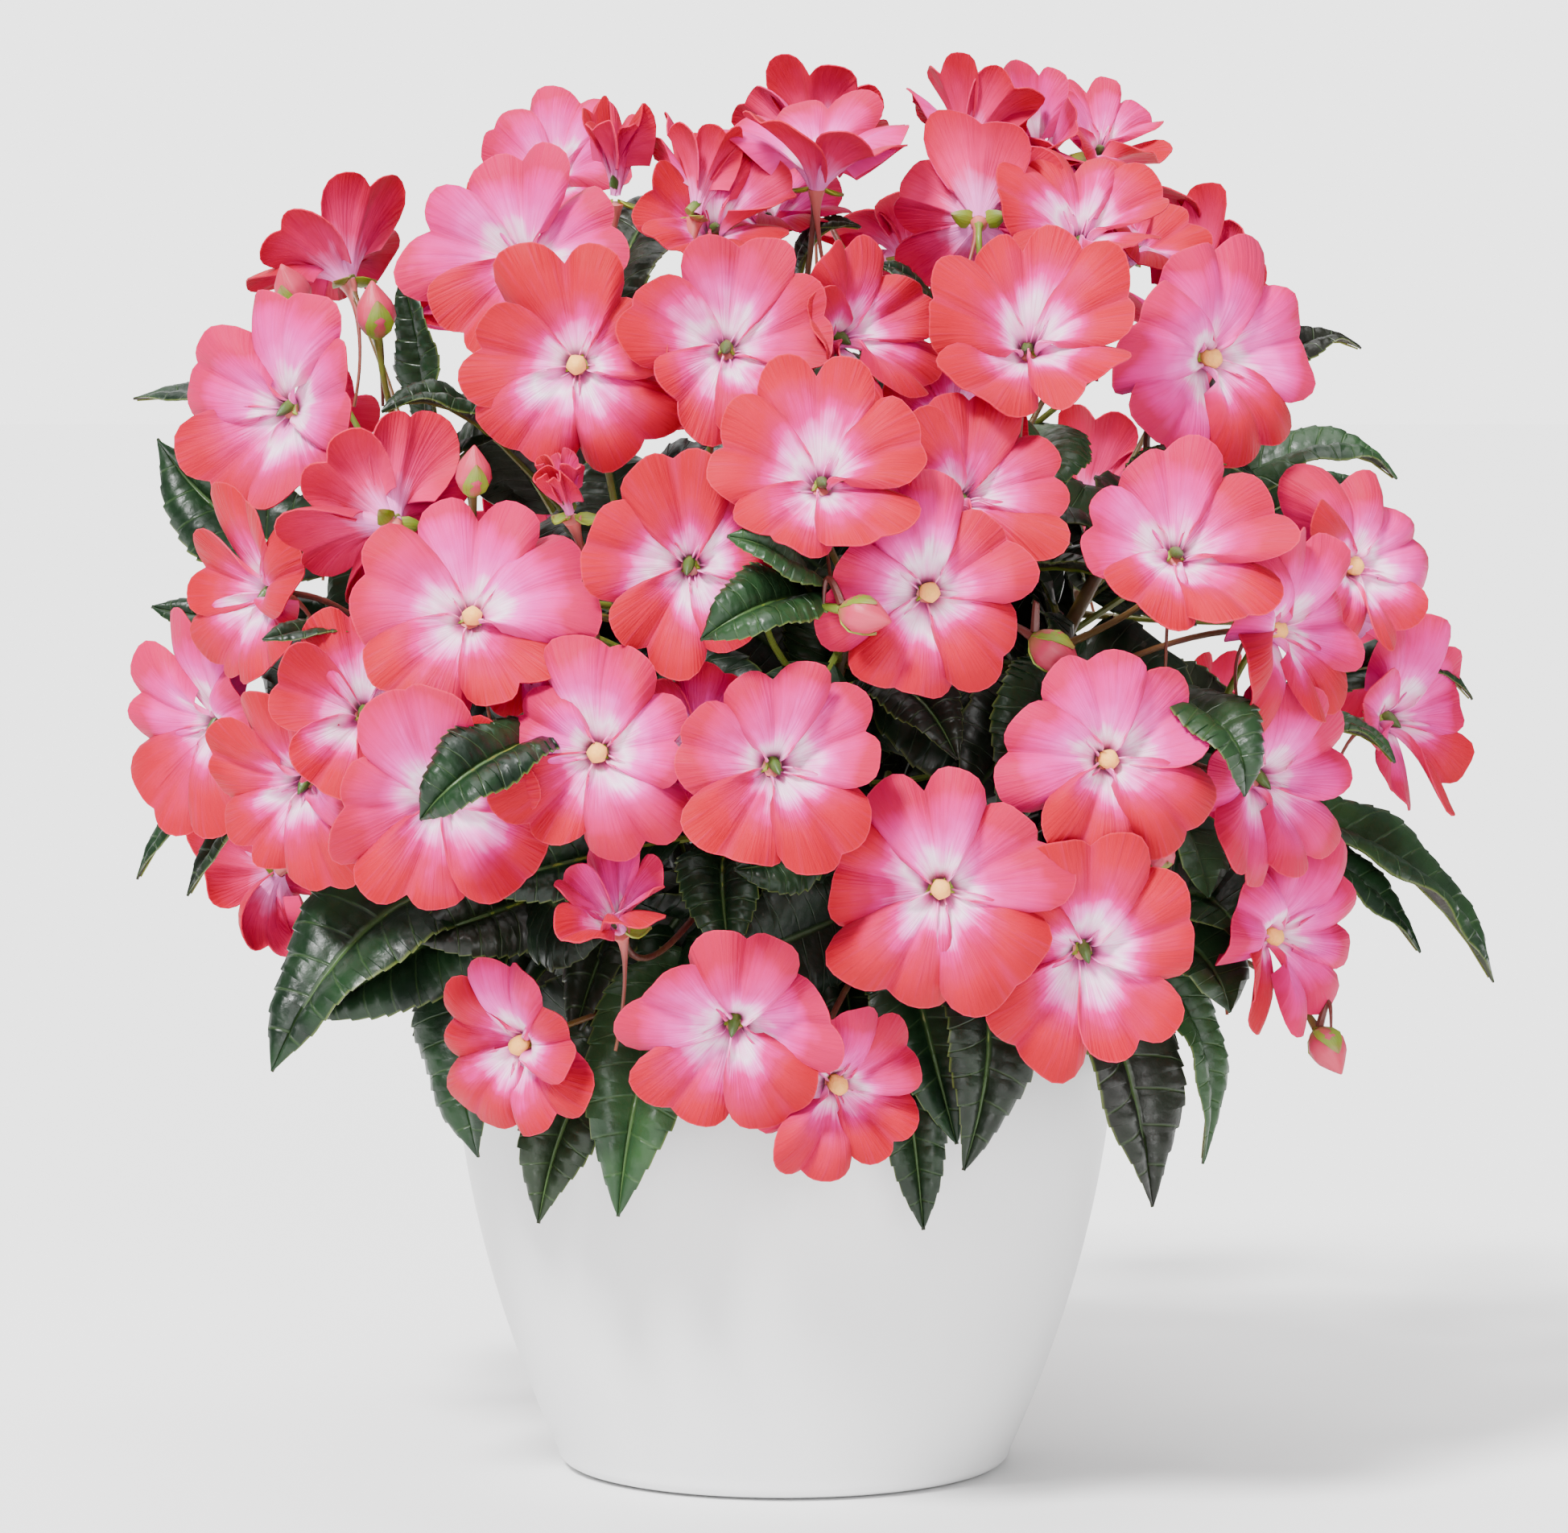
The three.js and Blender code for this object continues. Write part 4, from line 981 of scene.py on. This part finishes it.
class Shade:
    """A material and short names for its nodes. Its colours are red, green and blue."""

    def __init__(self, name, **settings):
        self.material = bpy.data.materials.new(name)
        self.material.use_nodes = True
        self.tree = self.material.node_tree
        self.shader = self.tree.nodes["Principled BSDF"]
        for socket, value in settings.items():
            self.shader.inputs[socket.replace("_", " ")].default_value = value

    def put(self, kind, inputs=(), **settings):
        """A new node; its inputs from the first on are linked to outputs or set to values."""
        node = self.tree.nodes.new("ShaderNode" + kind)
        for key, value in settings.items():
            setattr(node, key, value)
        for socket, source in zip(node.inputs, inputs):
            self.link(source, socket)
        return node

    def link(self, source, socket):
        if isinstance(source, tuple):
            socket.default_value = (*source, 1)
        elif isinstance(source, (int, float)):
            socket.default_value = source
        else:
            self.tree.links.new(source, socket)

    def attribute(self, name):
        node = self.put("Attribute", attribute_name=name)
        parts = self.put("SeparateColor", [node.outputs["Color"]])
        return [*parts.outputs[:3], node.outputs["Alpha"]]

    def sum(self, operation, *values):
        return self.put("Math", values, operation=operation).outputs[0]

    def times(self, a, b):
        return self.sum("MULTIPLY", a, b)

    def minus(self, a, b):
        return self.sum("SUBTRACT", a, b)

    def times_plus(self, a, b, more):
        return self.sum("MULTIPLY_ADD", a, b, more)

    def span(self, value, low, high, to_low=0.0, to_high=1.0):
        """A value's way from low to high as a smooth way from one number to another."""
        values = (value, low, high, to_low, to_high)
        return self.put("MapRange", values, interpolation_type="SMOOTHSTEP").outputs[0]

    def mix(self, share, a, b):
        node = self.put("Mix", [share], data_type="RGBA")
        self.link(a, node.inputs[6])
        self.link(b, node.inputs[7])
        return node.outputs[2]

    def ramp(self, value, stops):
        node = self.put("ValToRGB", [value])
        ramp = node.color_ramp
        while len(ramp.elements) < len(stops):
            ramp.elements.new(0.5)
        for element, (place, colour) in zip(ramp.elements, stops):
            element.position = place
            element.color = (*colour, 1)
        return node.outputs[0]

    def join(self, x, y, z):
        return self.put("CombineXYZ", (x, y, z)).outputs[0]

    def noise(self, vector, scale, detail, rough=0.5):
        node = self.put("TexNoise", [vector])
        for socket, value in (("Scale", scale), ("Detail", detail), ("Roughness", rough)):
            node.inputs[socket].default_value = value
        return node.outputs[0]

    def grain(self, scale, detail, rough=0.5):
        """Noise in the piece's own place, its scale per metre."""
        return self.noise(self.put("TexCoord").outputs["Object"], scale, detail, rough)

    def off_middle(self, across):
        """0 on the middle line of a blade and 1 at its sides."""
        return self.times(self.sum("ABSOLUTE", self.minus(across, 0.5)), 2.0)

    def bump(self, height, strength, distance):
        node = self.put("Bump")
        for socket, value in (("Strength", strength), ("Distance", distance), ("Height", height)):
            self.link(value, node.inputs[socket])
        self.tree.links.new(node.outputs[0], self.shader.inputs["Normal"])

    def colour(self, source):
        self.link(source, self.shader.inputs["Base Color"])

    def roughness(self, source):
        self.link(source, self.shader.inputs["Roughness"])


# Colours of the petals in the renderer's own terms, for the studio's bright light
CORAL = (0.44, 0.0003, 0.024)
DEEP_CORAL = (0.37, 0.0003, 0.013)
ROSE = (0.47, 0.0005, 0.068)
# painted shade of the petals' overlapping sides and middle crease, also the colour of their fine veins
SEAM_SHADE_AND_VEIN = (0.46, 0.001, 0.09)
PINK = (0.64, 0.004, 0.2)
LILAC = (0.7, 0.028, 0.3)
LILAC_PALE = (0.88, 0.1, 0.5)
PALE = (0.93, 0.22, 0.62)
WHITE_PINK = (0.96, 0.66, 0.85)
BACK = (0.5, 0.002, 0.06)
BACK_PALE = (0.68, 0.012, 0.14)
THROAT = (0.42, 0.03, 0.17)
# painted shade deep in the throat
THROAT_SHADE = (0.14, 0.05, 0.08)
EDGE = (0.8, 0.04, 0.1)
# From the throat out: of a coral bloom, of a lilac one, and of the petals' backs.
CORAL_STOPS = [(0.0, PALE), (0.16, WHITE_PINK), (0.28, PALE), (0.42, PINK), (0.54, ROSE), (0.7, CORAL)]
CORAL_STOPS.append((0.94, DEEP_CORAL))
LILAC_STOPS = [(0.0, PALE), (0.19, WHITE_PINK), (0.35, LILAC_PALE), (0.54, LILAC), (0.72, PINK)]
LILAC_STOPS.append((0.86, ROSE))
BACK_STOPS = [(0.1, PALE), (0.4, BACK_PALE), (0.75, BACK), (1.0, CORAL)]


def petal_material():
    m = Shade("petal_skin", Subsurface_Weight=0.15, Subsurface_Scale=0.003, Sheen_Weight=0.02)
    m.shader.inputs["Subsurface Radius"].default_value = (1.0, 0.3, 0.4)
    m.shader.inputs["Specular IOR Level"].default_value = 0.1
    out, across, chance, along = m.attribute("paint")
    lilac, lower, drift, front = m.attribute("mark")
    side = m.off_middle(across)
    shift = m.times(chance, 40.0)

    def streaks(narrow, long, detail):
        place = m.join(m.times(across, narrow), m.times(out, long), shift)
        return m.minus(m.noise(place, 1.0, detail), 0.5)

    # Streaks that run out from the throat, fine and broad, move the colours in and out.
    fine, broad, blotch = streaks(46.0, 1.8, 3.0), streaks(9.0, 1.2, 2.0), streaks(2.4, 2.2, 2.0)
    reach = m.times_plus(out, 0.62, m.times(along, 0.36))
    for part, share in ((fine, 0.12), (broad, 0.2), (blotch, 0.55), (m.minus(drift, 0.5), 0.6)):
        reach = m.times_plus(part, share, reach)
    face = m.mix(m.span(lilac, 0.42, 0.8), m.ramp(reach, CORAL_STOPS), m.ramp(reach, LILAC_STOPS))
    # Painted shade: a darker pink at the sides of each petal near the throat, where the petals overlap,
    # and along the crease in its middle; the fine streaks take the same pink as the petal's own veins.
    seam_shade = m.times(m.span(side, 0.72, 1.0), m.span(along, 0.15, 0.5))
    crease = m.times(m.span(side, 0.0, 0.12, 0.3, 0.0), m.span(along, 0.3, 0.9))
    for share in (m.times(seam_shade, 0.45), crease, m.times(m.span(fine, 0.0, 0.22), 0.22)):
        face = m.mix(share, face, SEAM_SHADE_AND_VEIN)
    face = m.mix(m.span(out, 0.04, 0.17, 0.7, 0.0), face, THROAT)
    # Painted shade: the hollow of the throat is darkened close to the column, about half as much on the
    # two lower petals.
    throat_shade = m.times(m.span(out, 0.02, 0.11, 0.9, 0.0), m.times_plus(lower, -0.5, 0.95))
    face = m.mix(throat_shade, face, THROAT_SHADE)
    face = m.mix(m.span(along, 0.985, 0.999, 0.0, 0.25), face, EDGE)
    back = m.mix(m.times(m.span(fine, 0.05, 0.2), 0.3), m.ramp(reach, BACK_STOPS), BACK)
    m.colour(m.mix(front, back, face))
    m.roughness(m.span(broad, -0.3, 0.3, 0.48, 0.62))
    m.bump(m.times_plus(fine, 1.2, broad), 0.4, 0.0012)
    return m.material


# Colours of the leaves
LEAF_DEEP = (0.003, 0.01, 0.0042)
LEAF_MID = (0.0085, 0.028, 0.009)
LEAF_FRESH = (0.03, 0.075, 0.024)
LEAF_FRESH_DEEP = (0.018, 0.05, 0.018)
LEAF_PURPLE = (0.0085, 0.0065, 0.005)
LEAF_VEIN = (0.06, 0.115, 0.03)
TOOTH_PALE = (0.13, 0.17, 0.035)
LEAF_SHADE = (0.004, 0.007, 0.004)
UNDER = (0.05, 0.06, 0.038)
UNDER_PURPLE = (0.05, 0.036, 0.034)
UNDER_VEIN = (0.12, 0.11, 0.055)


def leaf_material():
    m = Shade("leaf_skin")
    m.shader.inputs["Specular IOR Level"].default_value = 0.28
    x, across = m.attribute("paint")[:2]
    dim, young, other, front = m.attribute("mark")
    side = m.off_middle(across)
    slant = m.times(m.times(side, 0.2), m.minus(1.0, x))
    run = m.times(m.minus(x, slant), float(VEINS))
    vein = m.span(m.sum("ABSOLUTE", m.minus(m.sum("FRACT", run), 0.5)), 0.44, 0.5)
    midrib = m.span(side, 0.015, 0.08, 1.0, 0.0)
    lines = m.sum("MAXIMUM", m.times(vein, 0.4), midrib)
    patch, fine = m.grain(60.0, 4.0), m.grain(420.0, 3.0)
    mottle = m.span(patch, 0.3, 0.7)
    deep = m.mix(mottle, LEAF_DEEP, LEAF_MID)
    fresh = m.mix(mottle, LEAF_FRESH_DEEP, LEAF_FRESH)
    green = m.mix(m.span(young, 0.6, 1.0, 0.0, 0.7), deep, fresh)
    green = m.mix(m.span(other, 0.62, 0.95, 0.0, 0.8), green, LEAF_PURPLE)
    green = m.mix(m.times(lines, 0.6), green, LEAF_VEIN)
    green = m.mix(m.span(side, 0.95, 1.0, 0.0, 0.6), green, TOOTH_PALE)
    green = m.mix(m.times(dim, 0.8), green, LEAF_SHADE)
    under = m.mix(mottle, UNDER, UNDER_PURPLE)
    under = m.mix(m.times(lines, 0.6), under, UNDER_VEIN)
    under = m.mix(m.times(dim, 0.8), under, LEAF_SHADE)
    m.colour(m.mix(front, under, green))
    m.roughness(m.span(fine, 0.2, 0.8, 0.28, 0.48))
    height = m.minus(m.times(fine, 0.35), m.times(lines, 0.8))
    m.bump(m.times_plus(patch, 0.4, height), 0.5, 0.0012)
    return m.material


# Colours of the small parts from base to tip, of the stems by how red they are, and of the mix
STEM_STOPS = [(0.1, (0.14, 0.19, 0.02)), (0.55, (0.12, 0.075, 0.016)), (0.95, (0.1, 0.018, 0.014))]
CAP_STOPS = [(0.0, (0.55, 0.2, 0.06)), (0.5, (0.96, 0.55, 0.12)), (1.0, (0.9, 0.42, 0.08))]
OVARY_STOPS = [(0.0, (0.22, 0.26, 0.06)), (0.4, (0.06, 0.13, 0.018)), (1.0, (0.03, 0.065, 0.012))]
SPUR_STOPS = [(0.0, (0.6, 0.12, 0.12)), (0.35, (0.2, 0.02, 0.022)), (1.0, (0.15, 0.04, 0.018))]
SEPAL_STOPS = [(0.0, (0.28, 0.36, 0.03)), (0.7, (0.17, 0.24, 0.015)), (1.0, (0.2, 0.11, 0.03))]
BUD_STOPS = [(0.0, (0.3, 0.22, 0.04)), (0.3, (0.48, 0.02, 0.07)), (1.0, (0.38, 0.002, 0.03))]
PEAT_STOPS = [(0.3, (0.006, 0.004, 0.0025)), (0.55, (0.02, 0.011, 0.006)), (0.75, (0.05, 0.028, 0.015))]
CAP_SPECK = (0.5, 0.2, 0.05)
SPUR_SPECK = (0.4, 0.16, 0.08)
SEPAL_STREAK = (0.08, 0.12, 0.012)
BUD_STREAK = (0.7, 0.08, 0.16)
STRAW = (0.3, 0.28, 0.24)


def soft_shade(name, rough, glow, depth):
    """A material that light enters by a share and a depth in metres."""
    return Shade(name, Roughness=rough, Subsurface_Weight=glow, Subsurface_Scale=depth)


def stem_material():
    m = soft_shade("stem_skin", 0.42, 0.1, 0.003)
    red = m.attribute("mark")[0]
    share = m.sum("ADD", red, m.times(m.minus(m.grain(90.0, 4.0), 0.5), 0.8))
    m.colour(m.ramp(share, STEM_STOPS))
    m.bump(m.grain(700.0, 2.0), 0.3, 0.0008)
    return m.material


def speckled(m, stops, grain, share, speck, *relief):
    """Colours from base to tip, with a grain of another colour and height."""
    m.colour(m.mix(share, m.ramp(m.attribute("paint")[0], stops), speck))
    m.bump(grain, *relief)
    return m.material


def cap_material():
    m = soft_shade("anther_cap", 0.6, 0.2, 0.002)
    grain = m.grain(1400.0, 3.0)
    return speckled(m, CAP_STOPS, grain, m.times(grain, 0.3), CAP_SPECK, 0.5, 0.0006)


def ovary_material():
    m = soft_shade("ovary", 0.4, 0.1, 0.002)
    m.colour(m.ramp(m.attribute("paint")[0], OVARY_STOPS))
    m.bump(m.grain(1200.0, 2.0), 0.3, 0.0005)
    return m.material


def spur_material():
    m = soft_shade("spur_skin", 0.45, 0.15, 0.002)
    grain = m.grain(500.0, 2.0)
    return speckled(m, SPUR_STOPS, grain, m.times(grain, 0.2), SPUR_SPECK, 0.2, 0.0005)


def sepal_material():
    m = soft_shade("sepal_skin", 0.45, 0.12, 0.003)
    x, across = m.attribute("paint")[:2]
    grain = m.noise(m.join(m.times(across, 12.0), x, 0.0), 1.0, 2.0)
    share = m.times(m.span(grain, 0.4, 0.7), 0.35)
    return speckled(m, SEPAL_STOPS, grain, share, SEPAL_STREAK, 0.3, 0.0006)


def bud_material():
    m = soft_shade("bud_skin", 0.48, 0.2, 0.004)
    along, across, chance = m.attribute("paint")[:3]
    grain = m.noise(m.join(m.times(across, 20.0), m.times(along, 2.0), chance), 1.0, 2.0)
    return speckled(m, BUD_STOPS, grain, m.times(grain, 0.35), BUD_STREAK, 0.3, 0.001)


def pot_material():
    m = Shade("moulded_white", Coat_Weight=0.1, Coat_Roughness=0.2)
    cloud = m.span(m.grain(18.0, 3.0), 0.3, 0.7)
    m.colour(m.mix(cloud, (0.76, 0.76, 0.77), (0.8, 0.8, 0.8)))
    m.roughness(m.times_plus(cloud, 0.09, 0.33))
    m.bump(m.grain(1500.0, 2.0), 0.08, 0.0004)
    return m.material


def soil_material():
    m = Shade("peat_mix", Roughness=0.95)
    clump = m.grain(140.0, 5.0, 0.65)
    m.colour(m.mix(m.span(m.grain(520.0, 2.0), 0.66, 0.72), m.ramp(clump, PEAT_STOPS), STRAW))
    m.bump(clump, 1.0, 0.004)
    return m.material


def floor_material():
    m = Shade("studio_floor", Roughness=0.8)
    m.colour(m.mix(m.grain(3.0, 2.0), (0.93, 0.93, 0.93), (0.95, 0.95, 0.95)))
    return m.material


# The scene


def node_of(bloom, corners):
    """The CAD node that holds a bloom: the one whose corners lie nearest to the bloom's own."""
    throat, face = bloom.throat, bloom.face
    spots = [throat + face * 3.0]
    for p in range(PETALS):
        spoke = swing(*bloom_axes(bloom), radians(72 * p))
        spots.append(throat - face * THROAT_DEPTH + spoke * foot_radius(bloom.open))
    spots = np.array(spots)

    def miss(name):
        return np.linalg.norm(spots[:, None] - corners[name][None], axis=2).min(axis=1).sum()

    return min(corners, key=miss)


def build_blooms(blooms):
    corners = {}
    for name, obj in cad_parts.items():
        if name.startswith("bloom"):
            corners[name] = np.array([list(v.co) for v in obj.data.vertices]) / MM
    skins = [petal_material(), cap_material(), ovary_material(), spur_material(), sepal_material()]
    groups = {}
    for index, bloom in enumerate(blooms):
        groups.setdefault(node_of(bloom, corners), []).append((index, bloom))
    for name, members in groups.items():
        piece = Piece()
        for index, bloom in members:
            add_bloom(piece, index, bloom)
        piece.make("petals_" + name, skins, [name])


def build_green(shoots, stalks, leaves):
    skins = [leaf_material(), stem_material(), bud_material(), sepal_material()]
    groups = (("leaves", leaves, LEAF_SEED), ("inner_leaves", inner_leaves(shoots), INNER_LEAF_SEED))
    for stem in range(OUTER_STEMS + 1):
        node = f"leafy_stem_{stem + 1}"
        for label, group, seed in groups:
            blades = Piece()
            for number, leaf in enumerate(group):
                if leaf.shoot.stem == stem:
                    add_leaf(blades, leaf, seed + number)
            blades.make(f"{label}_{stem + 1}", skins[:2], [node])
        draw = seeded(STEM_SEED + stem)
        stalky = Piece()
        add_stem(stalky, stem, shoots, draw)
        for stalk in stalks:
            if stalk.shoot.stem == stem:
                add_stalk(stalky, stalk, draw)
        stalky.make(f"stems_{stem + 1}", skins, [node])


def build_pot():
    pot = Piece()
    add_turned(pot, pot_profile(), POT_SEGMENTS)
    pot.make("planter", [pot_material()], ["pot"], crease=40)


SOIL_RINGS = 60
SOIL_SEGMENTS = 160
SOIL_BASE = 12.0
SOIL_GAP = 0.5
SOIL_EDGE = SOIL_TOP - 3
# Lumps of the mix: the seed, the size and the height of two kinds.
SOIL_LUMPS = [(11, 14, 3.0), (12, 5, 1.6)]


def build_soil():
    edge = pot_radius(SOIL_EDGE) - POT_WALL - SOIL_GAP
    top = SOIL_TOP + SOIL_CROWN
    rows = [[0.0, SOIL_BASE], [FOOT_RADIUS - 5, SOIL_BASE]]
    rows += [[pot_radius(z) - POT_WALL - SOIL_GAP, z] for z in np.linspace(16, SOIL_EDGE, 12)]
    rings = np.linspace(edge * 0.99, 1.0, SOIL_RINGS)
    rows += [[r, SOIL_EDGE + (top - SOIL_EDGE) * (1 - r / edge)] for r in rings]
    rows.append([0.0, top])
    soil = Piece()

    def lumpy(points):
        top = points[:, 2] > SOIL_TOP - 3.5
        lumps = sum(rough(points, seed, size) * rise for seed, size, rise in SOIL_LUMPS)
        points[:, 2] += np.where(top, lumps, 0)

    add_turned(soil, np.array(rows), SOIL_SEGMENTS, lumpy)
    soil.make("potting_mix", [soil_material()], ["soil"], crease=0)


def build_camera():
    lens = bpy.data.cameras.new("front_view")
    camera = new_object("front_view", lens)
    aim = vec(0, 0, AIM_HEIGHT)
    lens.sensor_fit = "HORIZONTAL"
    lens.sensor_width = SENSOR_WIDTH
    lens.lens = SENSOR_WIDTH * PHOTO_SCALE * dist(EYE, aim) / PHOTO_WIDTH
    lens.clip_end = 50
    camera.location = Vector(EYE * MM)
    camera.rotation_euler = Vector((aim - EYE) * MM).to_track_quat("-Z", "Y").to_euler()
    bpy.context.scene.camera = camera


def add_sun(name, azimuth, elevation, level, angle):
    """A soft distant light: a white surface that faces it looks as bright as level."""
    data = bpy.data.lights.new(name, "SUN")
    data.energy = pi * level
    data.angle = radians(angle)
    way = Vector(facing(azimuth, elevation))
    new_object(name, data).rotation_euler = way.to_track_quat("Z", "Y").to_euler()


AMBIENT = 0.2  # the world's light on the object
FLOOR_SHARE = 0.94  # how much of its light the floor gives back
FLOOR_REACH = 9.0  # in metres, as is its drop under the pot
FLOOR_DROP = 0.0005
# Name, azimuth to the right of the front, elevation, level, and how wide the light looks.
LIGHTS = [
    ["key", -30, 46, 2.3, 12],
    ["front", 8, 14, 0.6, 26],
    ["fill", 65, 30, 0.1, 60],
    ["top", 20, 86, 1.0, 50],
    ["back", 205, 38, 0.5, 60],
]


def floor_level():
    """The brightness of the open floor, which the backdrop takes up."""
    fall = [level * sin(radians(rise)) for _, _, rise, level, _ in LIGHTS]
    return FLOOR_SHARE * (AMBIENT + sum(fall))


def build_studio():
    world = bpy.data.worlds.new("studio")
    world.use_nodes = True
    tree = world.node_tree
    background = tree.nodes["Background"]
    background.inputs["Color"].default_value = (1, 1, 1, 1)
    path = tree.nodes.new("ShaderNodeLightPath")
    level = tree.nodes.new("ShaderNodeMapRange")
    level.inputs["To Min"].default_value = AMBIENT
    level.inputs["To Max"].default_value = floor_level()
    tree.links.new(path.outputs["Is Camera Ray"], level.inputs["Value"])
    tree.links.new(level.outputs[0], background.inputs["Strength"])
    bpy.context.scene.world = world
    for row in LIGHTS:
        add_sun(*row)
    mesh = bpy.data.meshes.new("studio_floor")
    corners = [(x * FLOOR_REACH, y * FLOOR_REACH, 0) for x, y in ((-1, -1), (1, -1), (1, 1), (-1, 1))]
    mesh.from_pydata(corners, [], [(0, 1, 2, 3)])
    mesh.materials.append(floor_material())
    floor = new_object("studio_floor", mesh)
    floor.location = (0, 0, -FLOOR_DROP)


def build():
    build_camera()
    build_studio()
    shoots = list_shoots()
    blooms = list_blooms()
    stalks = list_stalks(shoots, blooms)
    leaves = list_leaves(shoots, blooms, stalks)
    build_blooms(blooms)
    build_green(shoots, stalks, leaves)
    build_pot()
    build_soil()


build()
